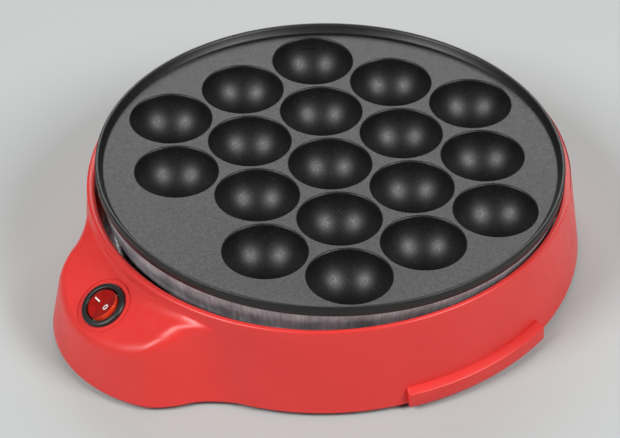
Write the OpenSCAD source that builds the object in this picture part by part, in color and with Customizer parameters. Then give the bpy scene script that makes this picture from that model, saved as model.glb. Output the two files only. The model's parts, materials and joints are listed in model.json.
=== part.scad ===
/* [Cooking plate] */
// Centre distance of neighbouring cavities
cavity_pitch = 43; // [42:0.5:48]
// Radius of a cavity's round opening
cavity_r = 20.05; // [17:0.05:20.4]
// Depth of a cavity below the land
cavity_depth = 19; // [14:0.5:20]
// Chamfer round each cavity's opening
cavity_chamfer = 0.6; // [0.3:0.1:0.9]
// Wall of the bowls that hang below the land
bowl_wall = 2; // [1.6:0.1:2.2]
// Thickness of the land between the bowls
land_t = 5.5; // [4:0.1:7]
// Width of the flat land outside the outer bowls
land_margin = 3.9; // [3:0.1:8]
// Height of the raised rim above the land
rim_h = 4.1; // [2:0.1:6]
// Width of the rim's bead at its top
rim_bead_w = 1.5; // [1:0.1:3]
// Slope width of the rim's inner side
rim_slope_w = 2; // [1:0.1:4]
// Height of the coated band below the land, outside
band_h = 1; // [0.5:0.1:3]
// Height of the bare machined taper below the band
taper_h = 8; // [4:0.5:9]
// Angle of the machined taper from the vertical
taper_angle = 26; // [5:1:30]
// Wall of the skirt round the plate
skirt_wall = 4; // [3:0.5:6]
// Depth of the skirt below the land
skirt_h = 16; // [12:0.5:18]
// Height of the land's centre above the table
land_z = 53.4; // [52:0.1:60]
// Lean of the loose plate in its seat, control side high
plate_lean = 3.6; // [0:0.1:4]

/* [Housing] */
// Outer radius of the ring wall at its bottom edge
ring_bottom_r = 121.3; // [120:0.1:126]
// Outer radius of the ring wall at its lip
ring_top_r = 117; // [117:0.1:121]
// Wall thickness of the red housing
wall = 2.7; // [2:0.1:3]
// Height of the lip above the table
lip_z = 50.1; // [46:0.1:51]
// Gap between the housing's bottom edge and the table
foot_gap = 3; // [2:0.1:6]
// Height of the inner shelf that carries the pan
shelf_z = 24; // [23:0.1:26]
// Inner radius of that shelf
shelf_r = 107.5; // [107:0.1:110]
// Thickness of that shelf
shelf_t = 2.5; // [2:0.1:4]
// Height of the raised strip low on each side
strip_h = 9.5; // [6:0.5:14]
// How far the strip stands out from the wall
strip_proud = 3; // [1.5:0.1:4]
// Half of the angle that the strip spans
strip_half_angle = 18; // [8:1:30]

/* [Control box] */
// Reach of the control box from the ring's axis
box_reach = 151.5; // [149:0.5:160]
// Radius of the box's curved front in plan
box_front_r = 69.5; // [64:0.5:80]
// How much the front draws in from the foot to the lip's height
box_draft = 10; // [4:0.5:11]
// Distance from the axis where the flanks start
flank_y = 131; // [128:0.5:136]
// Half width of the box there
flank_x = 47.5; // [44:0.5:52]
// Angle of the flanks from straight ahead
flank_angle = 20; // [10:0.5:30]
// How much each flank draws in from the foot to the lip's height
flank_draft = 11.5; // [4:0.5:12]
// Slope of the switch panel
panel_slope = 28; // [20:1:34]
// Distance of the switch from the ring's axis
switch_y = 132; // [130:0.5:134]
// Height of the panel's skin at the switch
panel_z = 34.5; // [33:0.1:37]

/* [Switch] */
// Outer radius of the round bezel
bezel_r = 11.5; // [11:0.1:13]
// Height of the bezel above the panel
bezel_h = 2; // [1:0.1:3]
// Radius of the switch body in the panel hole
switch_r = 9.9; // [9.7:0.1:10.4]
// Depth of the switch body below the panel
switch_depth = 14; // [12:0.5:15]
// Radius of the opening that the rocker moves in
rocker_opening_r = 8.75; // [8.5:0.05:9]
// Radius of the rocker seen from above
rocker_r = 8; // [7.4:0.1:8]
// Full throw of the rocker
rocker_throw = 20; // [12:1:24]
// Depth of the rocker's pivot below the panel
pivot_depth = 2.5; // [2:0.1:4]
// Radius of the pivot pin
pivot_r = 1; // [0.8:0.1:1.4]

/* [Heater] */
// Radius of the heater ring
heater_ring_r = 62; // [55:0.5:66]
// Radius of the sheathed heater tube
heater_tube_r = 3.3; // [2.8:0.1:3.6]
// Height of the heater's centre line
heater_z = 19; // [18.8:0.1:19.6]
// Half distance between the heater's two legs
heater_leg_x = 17; // [16:0.5:20]
// Bend radius where a leg leaves the ring
heater_bend_r = 9; // [7:0.5:12]
// Distance of the leg ends from the ring's axis
heater_leg_y = 121; // [119:0.5:122]

/* [Pan] */
// Height of the pan's floor, underside
pan_floor_z = 14; // [13.8:0.1:14.2]
// Thickness of the pan's sheet
pan_t = 1; // [0.6:0.1:1.2]
// Inner radius of the pan's wall
pan_r = 104; // [103.5:0.1:105]
// Outer radius of the pan's flange
pan_flange_r = 112; // [111:0.1:113]

/* [Plate carriers] */
// Distance of the posts from the axis
post_y = 98; // [96:0.5:98.5]
// Radius of a post
post_r = 3.5; // [3:0.1:4]
// Radius of the plate's own feet above the posts
plate_foot_r = 4; // [3.5:0.1:5]

/* [Sensor] */
// Radius of the sensor's round cap
sensor_cap_r = 7; // [6.5:0.1:9]
// Thickness of the sensor's cap
sensor_cap_t = 3; // [2:0.1:4]
// Radius of the sensor's stem
sensor_stem_r = 3; // [2.5:0.1:3.5]
// Outer radius of the guide tube
sensor_guide_r = 6.5; // [6.2:0.1:7.5]
// Height of the guide tube's top
sensor_guide_z = 36; // [32:0.5:38]
// Travel of the sensor
sensor_travel = 3; // [1:0.5:4]
// Mean radius of the spring's coil
spring_r = 5.2; // [4.8:0.1:5.6]
// Radius of the spring's wire
spring_wire_r = 0.5; // [0.4:0.05:0.6]
// Number of curls of the spring
spring_curls = 6; // [4:1:7]

/* [Fittings] */
// Radius of a rubber foot
foot_r = 8; // [6:0.5:10]
// Distance of the feet from the axis
foot_y = 98; // [90:1:100]
// How deep a foot sits in the bottom cover
foot_seat = 1; // [0.5:0.1:1.5]
// Thickness of the bottom cover
cover_t = 2.5; // [2.3:0.1:3]
// Radius of the cord's passage through the gland
gland_bore_r = 3.6; // [3:0.1:4]
// Radius of the gland's body
gland_r = 6.2; // [5.5:0.1:6.4]
// Radius of the gland's outer flange
gland_flange_r = 8.5; // [8:0.1:9]
// Height of the gland's centre line
gland_z = 12.7; // [12.5:0.1:13]
// Radius of a lead's insulation
lead_r = 1; // [0.8:0.1:1.1]
// Clearance between pieces that slide or turn
clear = 0.1; // [0.05:0.01:0.1]
// Gap between pieces that only rest near each other
rest_gap = 0.3; // [0.2:0.05:0.4]

/* [Hidden] */
$fn = 96;

// Colours as photographed
red_plastic = [0.87, 0.22, 0.2];
coated_plate = [0.33, 0.33, 0.33];
black_plastic = [0.2, 0.2, 0.2];
rocker_red = [0.72, 0.08, 0.05];
steel = [0.7, 0.7, 0.7];
brass = [0.8, 0.68, 0.35];
ceramic = [0.9, 0.88, 0.82];

// Plate: the casting's own frame has z = 0 at the land
row_step = cavity_pitch * sqrt(3) / 2;
land_r = 2 * cavity_pitch + cavity_r + land_margin;
rim_inner_r = land_r + rim_slope_w;
rim_r = rim_inner_r + rim_bead_w;
taper_foot_r = rim_r - taper_h * tan(taper_angle);
bowl_r = (cavity_r * cavity_r + cavity_depth * cavity_depth) / (2 * cavity_depth);
bowl_z = bowl_r - cavity_depth;

// Housing: heights are above the table, radii from the ring's axis
lip_round = wall / 2;
box_h = lip_z - foot_gap;
ring_slope = (ring_bottom_r - ring_top_r) / box_h;
cover_top = foot_gap + cover_t;
gland_seat_depth = 2;
gland_flange_t = 2.8;
gland_neck = 6;
gland_seat_y = ring_bottom_r - gland_seat_depth;
gland_back_y = gland_seat_y + gland_flange_t;
axis_y = (box_reach - gland_back_y) / 2;
door_top = shelf_z - shelf_t - 1;
door_y = flank_y * 0.7;
front_c = box_reach - box_front_r;
flank_tilt = atan(flank_draft * cos(flank_angle) / box_h);

// Screws
screw_r = 1.5;
screw_head_r = 3;
screw_head_h = 1.8;
pilot_r = screw_r + clear / 2;
boss_r = 4.2;
ring_boss_r = shelf_r + boss_r + rest_gap;
ring_boss_angles = [40, 140, 220, 320];
box_boss_x = 27;
box_boss_y = box_reach - 15;
screw_reach = 9;

// Feet and vents of the bottom cover
foot_angles = [45, 135, 225, 315];
vent_r = 52;
vent_l = 30;
vent_w = 4;
vent_step = 30;

// Pan and what stands on it
pan_top = pan_floor_z + pan_t;
pan_screw_angles = [30, 150, 225, 315];
pan_screw_r = (shelf_r + pan_flange_r) / 2;
post_angles = [0, 120, 240];
clip_angles = [30, 150, 90];
clip_w = 5;
clip_wall = 1.2;

// Sensor under the place where the plate has no cavity
sensor_y = 2 * cavity_pitch;
thermostat_r = 8;
thermostat_h = 7;
fuse_x = -35;
fuse_y = 72;
fuse_r = 2;
fuse_z = 11.2;
fuse_l = 14;
fuse_wire_l = 5;
thermostat_stem_r = 1.8;
earth_x = 40;
earth_y = 72;

// Push-on blades
blade_w = 4.8;
blade_t = 0.8;

// Wiring heights between the bottom cover and the pan
low_z = cover_top + lead_r + 0.4;
high_z = pan_floor_z - lead_r - 1.4;
clamp_w = 24;
clamp_d = 6;
clamp_h = 5;
clamp_y = gland_seat_y - gland_neck - clamp_d / 2 - 2.3;
clamp_screw_x = clamp_w * 0.36;
clamp_bore_r = gland_bore_r - 0.2;
block_w = 26;
block_d = 14;
block_h = 7.6;
block_y = clamp_y - (clamp_d + block_d) / 2 - 6;
block_places = [-8, 0, 8];

// Where a point of the plate's frame lies once the plate leans
function leaned(p) = [
  p[0],
  p[1] * cos(plate_lean) + p[2] * sin(plate_lean),
  land_z - p[1] * sin(plate_lean) + p[2] * cos(plate_lean)
];
// Outer radius of the ring wall at a height
function ring_r(z) = ring_bottom_r - (z - foot_gap) * ring_slope;

// Everything is built round the ring's axis and moved as one
module frame() {
  translate([0, axis_y, 0]) children();
}

module on_plate() {
  frame() translate([0, 0, land_z]) rotate([-plate_lean, 0, 0]) children();
}

// The panel's frame: z stands on the panel, y points up its slope
module on_panel() {
  frame() translate([0, -switch_y, panel_z]) rotate([panel_slope, 0, 0]) children();
}

module ring_of(r, angles, z) {
  for (a = angles) rotate([0, 0, a]) translate([r, 0, z]) children();
}

// A screw with its head down at z = 0 and its shank upwards
module screw_up(reach) {
  cylinder(h = screw_head_h, r = screw_head_r);
  cylinder(h = screw_head_h + reach, r = screw_r);
}

// ---- Housing ----

module ring_wall() {
  rotate_extrude() {
    polygon([
      [ring_bottom_r, foot_gap],
      [ring_r(lip_z - lip_round), lip_z - lip_round],
      [ring_r(lip_z - lip_round) - wall, lip_z - lip_round],
      [ring_bottom_r - wall, foot_gap]
    ]);
    translate([ring_r(lip_z - lip_round) - lip_round, lip_z - lip_round]) circle(r = lip_round);
  }
}

module pan_shelf() {
  rotate_extrude()
    polygon([
      [shelf_r, shelf_z - shelf_t],
      [ring_r(shelf_z - shelf_t) - wall / 2, shelf_z - shelf_t],
      [ring_r(shelf_z) - wall / 2, shelf_z],
      [shelf_r, shelf_z]
    ]);
}

// Plan of the box between its flanks at the foot, drawn in by an inset
module flank_plan(inset) {
  half = flank_x - inset / cos(flank_angle);
  front = box_reach + 5;
  front_half = half - (front - flank_y) * tan(flank_angle);
  back_half = half + flank_y * 0.35 * tan(flank_angle);
  polygon([
    [-front_half, -front], [front_half, -front],
    [back_half, -flank_y * 0.65], [-back_half, -flank_y * 0.65]
  ]);
}

// Everything on the inner side of one leaning flank
module inside_flank(inset) {
  translate([flank_x, -flank_y, foot_gap])
    rotate([0, 0, -flank_angle])
      rotate([0, -flank_tilt, 0])
        translate([-inset - 150, -60, -20]) cube([150, 160, 90]);
}

// The box as a solid, drawn in by an inset on every outer side
module box_solid(inset, bottom) {
  back = flank_y * 0.65;
  difference() {
    intersection() {
      translate([0, -front_c, bottom])
        cylinder(
          h = lip_z - bottom,
          r1 = box_front_r - inset - box_draft * (bottom - foot_gap) / box_h,
          r2 = box_front_r - box_draft - inset
        );
      inside_flank(inset);
      mirror([1, 0, 0]) inside_flank(inset);
      translate([-box_front_r, -box_reach, bottom])
        cube([2 * box_front_r, box_reach - back, box_h]);
    }
    panel_cut(inset);
  }
}

// Everything above the panel's skin, or above its underside
module panel_cut(inset) {
  drop = inset / cos(panel_slope);
  translate([0, -switch_y, panel_z - drop])
    rotate([panel_slope, 0, 0])
      translate([-100, -100, 0]) cube([200, 200, 60]);
}

// The strips stop a hair above the wall's bottom edge
strip_z = foot_gap + 0.3;

module side_strips() {
  for (side = [0, 180])
    rotate([0, 0, side - strip_half_angle])
      rotate_extrude(angle = 2 * strip_half_angle)
        polygon([
          [ring_bottom_r - wall / 2, strip_z],
          [ring_bottom_r + strip_proud, strip_z],
          [ring_r(foot_gap + strip_h) + strip_proud, foot_gap + strip_h],
          [ring_r(foot_gap + strip_h) - wall / 2, foot_gap + strip_h]
        ]);
}

module housing_bosses() {
  ring_of(ring_boss_r, ring_boss_angles, cover_top)
    cylinder(h = shelf_z - shelf_t / 2 - cover_top, r = boss_r);
  for (side = [-1, 1])
    intersection() {
      translate([side * box_boss_x, -box_boss_y, cover_top]) cylinder(h = lip_z, r = boss_r);
      box_solid(wall / 2, foot_gap);
    }
}

module boss_pilots() {
  ring_of(ring_boss_r, ring_boss_angles, foot_gap)
    cylinder(h = screw_head_h + screw_reach + 1, r = pilot_r);
  for (side = [-1, 1])
    translate([side * box_boss_x, -box_boss_y, foot_gap])
      cylinder(h = screw_head_h + screw_reach + 1, r = pilot_r);
  ring_of(pan_screw_r, pan_screw_angles, shelf_z - shelf_t - 1)
    cylinder(h = shelf_t + 2, r = pilot_r);
}

module leg_notch() {
  half = heater_leg_x + heater_tube_r + 2;
  outer = max(ring_bottom_r, ring_top_r) + 1;
  translate([-half, -outer, door_top - 1])
    cube([2 * half, outer - shelf_r + 8, shelf_z - door_top + 1.01]);
}

module gland_hole() {
  translate([0, 0, gland_z])
    rotate([-90, 0, 0]) {
      cylinder(h = ring_bottom_r + 1, r = gland_r + clear);
      translate([0, 0, gland_seat_y])
        cylinder(h = gland_seat_depth + strip_proud, r = gland_flange_r + clear);
    }
}

module switch_hole() {
  pocket_top = wall + rest_gap;
  translate([0, -switch_y, panel_z])
    rotate([panel_slope, 0, 0]) {
      translate([0, 0, -wall - 2]) cylinder(h = 16, r = switch_r + clear);
      translate([0, 0, -switch_depth - 1])
        cylinder(h = switch_depth + 1 - pocket_top, r = switch_r + 1);
      rotate_extrude() translate([bezel_r * 1.22, -0.3]) square([0.8, 1]);
    }
}

module housing() {
  color(red_plastic)
    frame()
      difference() {
        union() {
          difference() {
            union() {
              ring_wall();
              pan_shelf();
              side_strips();
              difference() {
                box_solid(0, foot_gap);
                box_solid(wall, foot_gap - 1);
                translate([0, 0, foot_gap - 1])
                  cylinder(
                    h = box_h + 2,
                    r1 = ring_bottom_r + ring_slope - wall / 2,
                    r2 = ring_top_r - ring_slope - wall / 2
                  );
              }
            }
            intersection() {
              box_solid(wall, foot_gap - 1);
              translate([-box_front_r, -box_reach, 0])
                cube([2 * box_front_r, box_reach - door_y, door_top]);
            }
            leg_notch();
          }
          housing_bosses();
        }
        boss_pilots();
        gland_hole();
        switch_hole();
      }
}

// ---- Bottom ----

module slot_plan(length, width) {
  square([length - width, width], center = true);
  for (side = [-1, 1]) translate([side * (length - width) / 2, 0]) circle(r = width / 2, $fn = 32);
}

module cover_plan() {
  circle(r = ring_bottom_r - wall - cover_t * ring_slope - rest_gap);
  intersection() {
    translate([0, -front_c])
      circle(r = box_front_r - wall - cover_t * box_draft / box_h - rest_gap);
    flank_plan(wall + cover_t * flank_draft / box_h + rest_gap);
  }
}

module cord_saddle() {
  saddle_h = gland_z - rest_gap / 2 - cover_top;
  difference() {
    translate([-clamp_w / 2, clamp_y - clamp_d / 2, cover_top - 0.5])
      cube([clamp_w, clamp_d, saddle_h + 0.5]);
    translate([0, 0, gland_z]) rotate([-90, 0, 0]) cylinder(h = gland_seat_y, r = clamp_bore_r);
    for (side = [-1, 1])
      translate([side * clamp_screw_x, clamp_y, cover_top])
        cylinder(h = saddle_h + 1, r = pilot_r);
  }
}

module bottom_cover() {
  color(black_plastic)
    frame() {
      difference() {
        translate([0, 0, foot_gap]) linear_extrude(height = cover_t) cover_plan();
        ring_of(foot_y, foot_angles, foot_gap - 1)
          cylinder(h = foot_seat + 1, r = foot_r + clear);
        ring_of(ring_boss_r, ring_boss_angles, foot_gap - 1) screw_seat();
        for (side = [-1, 1])
          translate([side * box_boss_x, -box_boss_y, foot_gap - 1]) screw_seat();
        for (a = [0 : vent_step : 359])
          rotate([0, 0, a])
            translate([vent_r, 0, foot_gap - 1])
              linear_extrude(height = cover_t + 2) slot_plan(vent_l, vent_w);
      }
      cord_saddle();
    }
}

// Room for a screw's head and shank in the cover
module screw_seat() {
  cylinder(h = screw_head_h + 1, r = screw_head_r + 2 * clear);
  cylinder(h = cover_t + 2, r = pilot_r);
}

module rubber_feet() {
  color(black_plastic)
    frame()
      ring_of(foot_y, foot_angles, 0) {
        translate([0, 0, 1]) cylinder(h = foot_gap + foot_seat - 1, r = foot_r);
        cylinder(h = 1, r1 = foot_r - 0.8, r2 = foot_r);
      }
}

module cover_screws() {
  color(steel)
    frame() {
      ring_of(ring_boss_r, ring_boss_angles, foot_gap) screw_up(screw_reach);
      for (side = [-1, 1])
        translate([side * box_boss_x, -box_boss_y, foot_gap]) screw_up(screw_reach);
    }
}

// ---- Pan ----

module reflector_pan() {
  color(steel)
    frame()
      difference() {
        rotate_extrude()
          polygon([
            [0, pan_floor_z],
            [pan_r + pan_t, pan_floor_z],
            [pan_r + pan_t, shelf_z],
            [pan_flange_r, shelf_z],
            [pan_flange_r, shelf_z + pan_t],
            [pan_r, shelf_z + pan_t],
            [pan_r, pan_top],
            [0, pan_top]
          ]);
        for (side = [-1, 1])
          translate([side * heater_leg_x, 0, heater_z])
            rotate([90, 0, 0]) cylinder(h = box_reach, r = heater_tube_r + clear);
        ring_of(pan_screw_r, pan_screw_angles, shelf_z - 1) cylinder(h = 4, r = pilot_r);
        ring_of(post_y, post_angles, pan_floor_z - 1) cylinder(h = 4, r = pilot_r);
        translate([0, -sensor_y, pan_floor_z - 1])
          cylinder(h = 4, r = thermostat_stem_r + 2 * clear);
        translate([earth_x, earth_y, pan_floor_z - 1]) cylinder(h = 4, r = pilot_r);
      }
}

module pan_screws() {
  color(steel)
    frame()
      ring_of(pan_screw_r, pan_screw_angles, shelf_z + pan_t + screw_head_h)
        rotate([180, 0, 0]) screw_up(shelf_t + pan_t);
}

// Top of a post, just under the plate's foot that leans over it
function post_at(a) = leaned([post_y * cos(a), post_y * sin(a), -skirt_h]);
function post_top(a) = post_at(a)[2] - plate_foot_r * sin(plate_lean) - rest_gap;

module plate_posts() {
  color(ceramic)
    frame()
      for (a = post_angles)
        difference() {
          translate([post_y * cos(a), post_y * sin(a), pan_top])
            cylinder(h = post_top(a) - pan_top, r = post_r);
          translate([post_y * cos(a), post_y * sin(a), pan_top - 1])
            cylinder(h = screw_reach - 1, r = pilot_r);
        }
}

module post_screws() {
  color(steel)
    frame()
      ring_of(post_y, post_angles, pan_floor_z - screw_head_h) screw_up(screw_reach - 3);
}

// ---- Cooking plate ----

// Hexagonal places of the cavities, without the one over the sensor
module cavity_places() {
  for (column = [-2 : 2])
    for (place = [0 : 4 - abs(column)])
      if (!(column == 0 && place == 0))
        translate([column * row_step, (place - (4 - abs(column)) / 2) * cavity_pitch, 0])
          children();
}

module plate_blank() {
  rotate_extrude()
    polygon([
      [0, -land_t],
      [taper_foot_r - skirt_wall, -land_t],
      [taper_foot_r - skirt_wall, -skirt_h],
      [taper_foot_r, -skirt_h],
      [taper_foot_r, -band_h - taper_h],
      [rim_r, -band_h],
      [rim_r, rim_h - 0.4],
      [rim_r - 0.4, rim_h],
      [rim_inner_r, rim_h],
      [land_r, 0],
      [0, 0]
    ]);
  cavity_places()
    difference() {
      translate([0, 0, bowl_z]) sphere(r = bowl_r + bowl_wall);
      translate([-30, -30, -land_t / 2]) cube([60, 60, 60]);
    }
  for (a = post_angles)
    rotate([0, 0, a])
      translate([post_y, 0, -skirt_h]) cylinder(h = skirt_h - land_t / 2, r = plate_foot_r);
}

module cooking_plate() {
  color(coated_plate)
    on_plate()
      difference() {
        plate_blank();
        cavity_places() {
          translate([0, 0, bowl_z]) sphere(r = bowl_r);
          translate([0, 0, -cavity_chamfer])
            cylinder(
              h = cavity_chamfer + 0.1,
              r1 = cavity_r,
              r2 = cavity_r + cavity_chamfer + 0.1
            );
        }
      }
}

// ---- Heater ----

bend_y = sqrt(pow(heater_ring_r + heater_bend_r, 2) - pow(heater_leg_x + heater_bend_r, 2));
bend_angle = atan2(bend_y, heater_leg_x + heater_bend_r);

// Each bend is a hair thinner and runs on a little way inside its neighbours
bend_tuck = 3;
bend_tube_r = heater_tube_r - 0.02;

module heater_element() {
  half = 90 - bend_angle;
  color([0.35, 0.35, 0.37])
    frame()
      translate([0, 0, heater_z]) {
        rotate([0, 0, -90 + half])
          rotate_extrude(angle = 360 - 2 * half)
            translate([heater_ring_r, 0]) circle(r = heater_tube_r, $fn = 32);
        for (side = [0, 1])
          mirror([side, 0, 0]) {
            translate([heater_leg_x + heater_bend_r, -bend_y, 0])
              rotate([0, 0, 180 - bend_angle - bend_tuck])
                rotate_extrude(angle = bend_angle + 2 * bend_tuck)
                  translate([heater_bend_r, 0]) circle(r = bend_tube_r, $fn = 32);
            translate([heater_leg_x, -bend_y, 0])
              rotate([90, 0, 0]) cylinder(h = heater_leg_y - bend_y, r = heater_tube_r);
          }
      }
}

// A piece at the end of each heater leg, its z pointing outwards
module on_leg_ends(start) {
  frame()
    for (side = [-1, 1])
      translate([side * heater_leg_x, -heater_leg_y - start, heater_z])
        rotate([90, 0, 0]) children();
}

seal_l = 5;

module heater_end_seals() {
  color(ceramic) on_leg_ends(0) cylinder(h = seal_l, r = heater_tube_r + 0.6);
}

module heater_terminals() {
  color(brass)
    on_leg_ends(seal_l) {
      cylinder(h = 3, r = 1.2);
      translate([-blade_w / 2, -blade_t / 2, 2.5]) cube([blade_w, blade_t, 5.5]);
    }
}

module heater_clips() {
  outer = heater_tube_r + clear + clip_wall;
  color(steel)
    frame()
      ring_of(heater_ring_r, clip_angles, 0)
        difference() {
          union() {
            translate([-outer, -clip_w / 2, pan_top])
              cube([2 * outer, clip_w, heater_z - pan_top]);
            translate([0, clip_w / 2, heater_z])
              rotate([90, 0, 0]) cylinder(h = clip_w, r = outer);
            translate([-outer - 5, -clip_w / 2, pan_top]) cube([6, clip_w, clip_wall]);
          }
          translate([-outer - 10, -clip_w, 0]) cube([2 * outer + 20, 2 * clip_w, pan_top]);
          translate([-heater_ring_r, 0, heater_z])
            rotate_extrude() translate([heater_ring_r, 0]) circle(r = heater_tube_r + clear);
          translate([-outer - 2.5, 0, pan_top - 1]) cylinder(h = 5, r = 1);
        }
}

// ---- Sensor and thermostat ----

sensor_under = leaned([0, -sensor_y, -land_t]);
sensor_top = sensor_under[2] - sensor_cap_r * sin(plate_lean) - rest_gap;
spring_top = sensor_top - sensor_cap_t;
stem_bottom = pan_top + sensor_travel + rest_gap + 1;

module sensor_guide() {
  color(ceramic)
    frame()
      translate([0, -sensor_y, 0])
        difference() {
          union() {
            translate([0, 0, pan_top]) cylinder(h = sensor_guide_z - pan_top, r = sensor_guide_r);
            translate([0, 0, pan_top]) cylinder(h = 1.5, r = sensor_guide_r + 2.5);
          }
          translate([0, 0, pan_top - 1])
            cylinder(h = sensor_guide_z - pan_top + 2, r = sensor_stem_r + clear);
        }
}

module sensor_plunger() {
  color(steel)
    frame()
      translate([0, -sensor_y, 0]) {
        translate([0, 0, sensor_top - sensor_cap_t]) cylinder(h = sensor_cap_t, r = sensor_cap_r);
        translate([0, 0, stem_bottom])
          cylinder(h = sensor_top - sensor_cap_t / 2 - stem_bottom, r = sensor_stem_r);
      }
}

spring_rings = 8;
spring_sides = 6;
spring_h = spring_top - sensor_guide_z - 2 * spring_wire_r - 0.1;
spring_pitch = spring_h / spring_curls;
spring_steps = spring_curls * spring_rings;

// Point on the spring's wire: step along the helix, side round the wire
function spring_point(i, j) =
  let (a = i * 360 / spring_rings, b = j * 360 / spring_sides)
  [
    (spring_r + spring_wire_r * cos(b)) * cos(a),
    (spring_r + spring_wire_r * cos(b)) * sin(a),
    i * spring_h / spring_steps + spring_wire_r * sin(b)
  ];

spring_gap = spring_pitch - 2 * spring_wire_r;
echo("least gap between the spring's curls", spring_gap);

module sensor_spring() {
  points = [for (i = [0 : spring_steps], j = [0 : spring_sides - 1]) spring_point(i, j)];
  last = spring_steps * spring_sides;
  sides = [
    for (i = [0 : spring_steps - 1], j = [0 : spring_sides - 1])
      let (
        a = i * spring_sides + j,
        b = i * spring_sides + (j + 1) % spring_sides,
        c = b + spring_sides,
        d = a + spring_sides
      )
      each [[a, b, c], [a, c, d]]
  ];
  start_cap = [for (j = [1 : spring_sides - 2]) [0, j + 1, j]];
  end_cap = [for (j = [1 : spring_sides - 2]) [last, last + j, last + j + 1]];
  color(steel)
    frame()
      translate([0, -sensor_y, sensor_guide_z + spring_wire_r + 0.05])
        polyhedron(points = points, faces = concat(sides, start_cap, end_cap));
}

module thermostat_body() {
  color(black_plastic)
    frame()
      translate([0, -sensor_y, 0]) {
        translate([0, 0, pan_floor_z - thermostat_h]) cylinder(h = thermostat_h, r = thermostat_r);
        translate([0, 0, pan_floor_z - 0.5]) cylinder(h = pan_t + 1.5, r = thermostat_stem_r);
      }
}

blade_z = pan_floor_z - thermostat_h + 1;

module thermostat_terminals() {
  color(brass)
    frame()
      for (side = [0, 180])
        translate([0, -sensor_y, blade_z])
          rotate([0, 0, side])
            translate([thermostat_r, -blade_w / 2, 0]) cube([9, blade_w, blade_t]);
}

module thermal_fuse() {
  color(ceramic)
    frame()
      translate([fuse_x, -fuse_y, fuse_z])
        rotate([0, 90, 0]) {
          translate([0, 0, -fuse_l / 2]) cylinder(h = fuse_l, r = fuse_r);
          translate([0, 0, -fuse_l / 2 - fuse_wire_l])
            cylinder(h = fuse_l + 2 * fuse_wire_l, r = 0.6);
        }
}

module fuse_clip() {
  outer = fuse_r + clear + 0.6;
  color(steel)
    frame()
      translate([fuse_x, -fuse_y, 0])
        difference() {
          union() {
            translate([-2, -outer, fuse_z]) cube([4, 2 * outer, pan_floor_z - fuse_z]);
            translate([-2, 0, fuse_z]) rotate([0, 90, 0]) cylinder(h = 4, r = outer);
          }
          translate([-3, 0, fuse_z]) rotate([0, 90, 0]) cylinder(h = 6, r = fuse_r + clear);
        }
}

// ---- Switch ----

module switch_body() {
  color(black_plastic)
    on_panel()
      difference() {
        union() {
          rotate_extrude()
            polygon([
              [0, 0], [bezel_r, 0], [bezel_r, bezel_h - 1],
              [bezel_r - 1, bezel_h], [0, bezel_h]
            ]);
          translate([0, 0, -switch_depth]) cylinder(h = switch_depth + 0.5, r = switch_r);
        }
        translate([0, 0, 2 - switch_depth])
          cylinder(h = switch_depth + bezel_h, r = rocker_opening_r);
        translate([0, switch_r + 1, -pivot_depth])
          rotate([90, 0, 0]) cylinder(h = 2 * switch_r + 2, r = pivot_r + clear / 2);
      }
}

// The rocker's own frame has its pivot at the origin
module on_pivot() {
  on_panel()
    translate([0, 0, -pivot_depth]) rotate([0, -rocker_throw / 2, 0]) children();
}

rocker_mid = pivot_depth + 0.9;
rocker_rise = rocker_r * tan(rocker_throw / 2);

module switch_rocker() {
  color(rocker_red)
    on_pivot()
      difference() {
        intersection() {
          translate([0, 0, -2]) cylinder(h = 12, r = rocker_r);
          translate([0, rocker_r, 0])
            rotate([90, 0, 0]) cylinder(h = 2 * rocker_r, r = rocker_opening_r - clear);
          translate([0, rocker_r, 0])
            rotate([90, 0, 0])
              linear_extrude(height = 2 * rocker_r)
                polygon([
                  [-rocker_r, -2], [rocker_r, -2], [rocker_r, rocker_mid + rocker_rise],
                  [0, rocker_mid], [-rocker_r, rocker_mid + rocker_rise]
                ]);
        }
        translate([0, rocker_r + 1, 0])
          rotate([90, 0, 0]) cylinder(h = 2 * rocker_r + 2, r = pivot_r + clear / 2);
      }
}

// The frame of one half of the rocker's face
module on_rocker_face(side) {
  on_pivot()
    translate([0, 0, rocker_mid])
      rotate([0, -side * rocker_throw / 2, 0]) children();
}

mark_t = 0.15;

module rocker_marks() {
  color("white") {
    on_rocker_face(-1) translate([-6.2, -0.35, 0]) cube([3.7, 0.7, mark_t]);
    on_rocker_face(1)
      translate([4, 0, 0])
        difference() {
          cylinder(h = mark_t, r = 1.5);
          translate([0, 0, -1]) cylinder(h = 3, r = 0.9);
        }
  }
}

module pivot_pin() {
  color(steel)
    on_panel()
      translate([0, switch_r - 0.1, -pivot_depth])
        rotate([90, 0, 0]) cylinder(h = 2 * switch_r - 0.2, r = pivot_r);
}

switch_blade_l = 7;
switch_blade_x = 5;

module switch_terminals() {
  color(brass)
    on_panel()
      for (x = [-switch_blade_x, 0, switch_blade_x])
        translate([x - blade_t / 2, -blade_w / 2, -switch_depth - switch_blade_l])
          cube([blade_t, blade_w, switch_blade_l]);
}

module neon_lamp() {
  color([1, 0.55, 0.3])
    on_panel()
      translate([0, 4, 2 - switch_depth + 1.8]) rotate([90, 0, 0]) cylinder(h = 8, r = 1.8);
}

// ---- Mains entry ----

module terminal_block() {
  color(ceramic)
    frame()
      difference() {
        translate([-block_w / 2, block_y - block_d / 2, cover_top])
          cube([block_w, block_d, block_h]);
        for (x = block_places) {
          translate([x, block_y + block_d, low_z + 0.6])
            rotate([90, 0, 0]) cylinder(h = 2 * block_d, r = lead_r + clear);
          translate([x, block_y, low_z + 0.6]) cylinder(h = block_h, r = 2.2);
        }
      }
}

module terminal_screws() {
  color(brass)
    frame()
      for (x = block_places)
        translate([x, block_y, low_z + lead_r + 1])
          cylinder(h = cover_top + block_h - low_z - lead_r - 1.4, r = 2.1);
}

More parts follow.
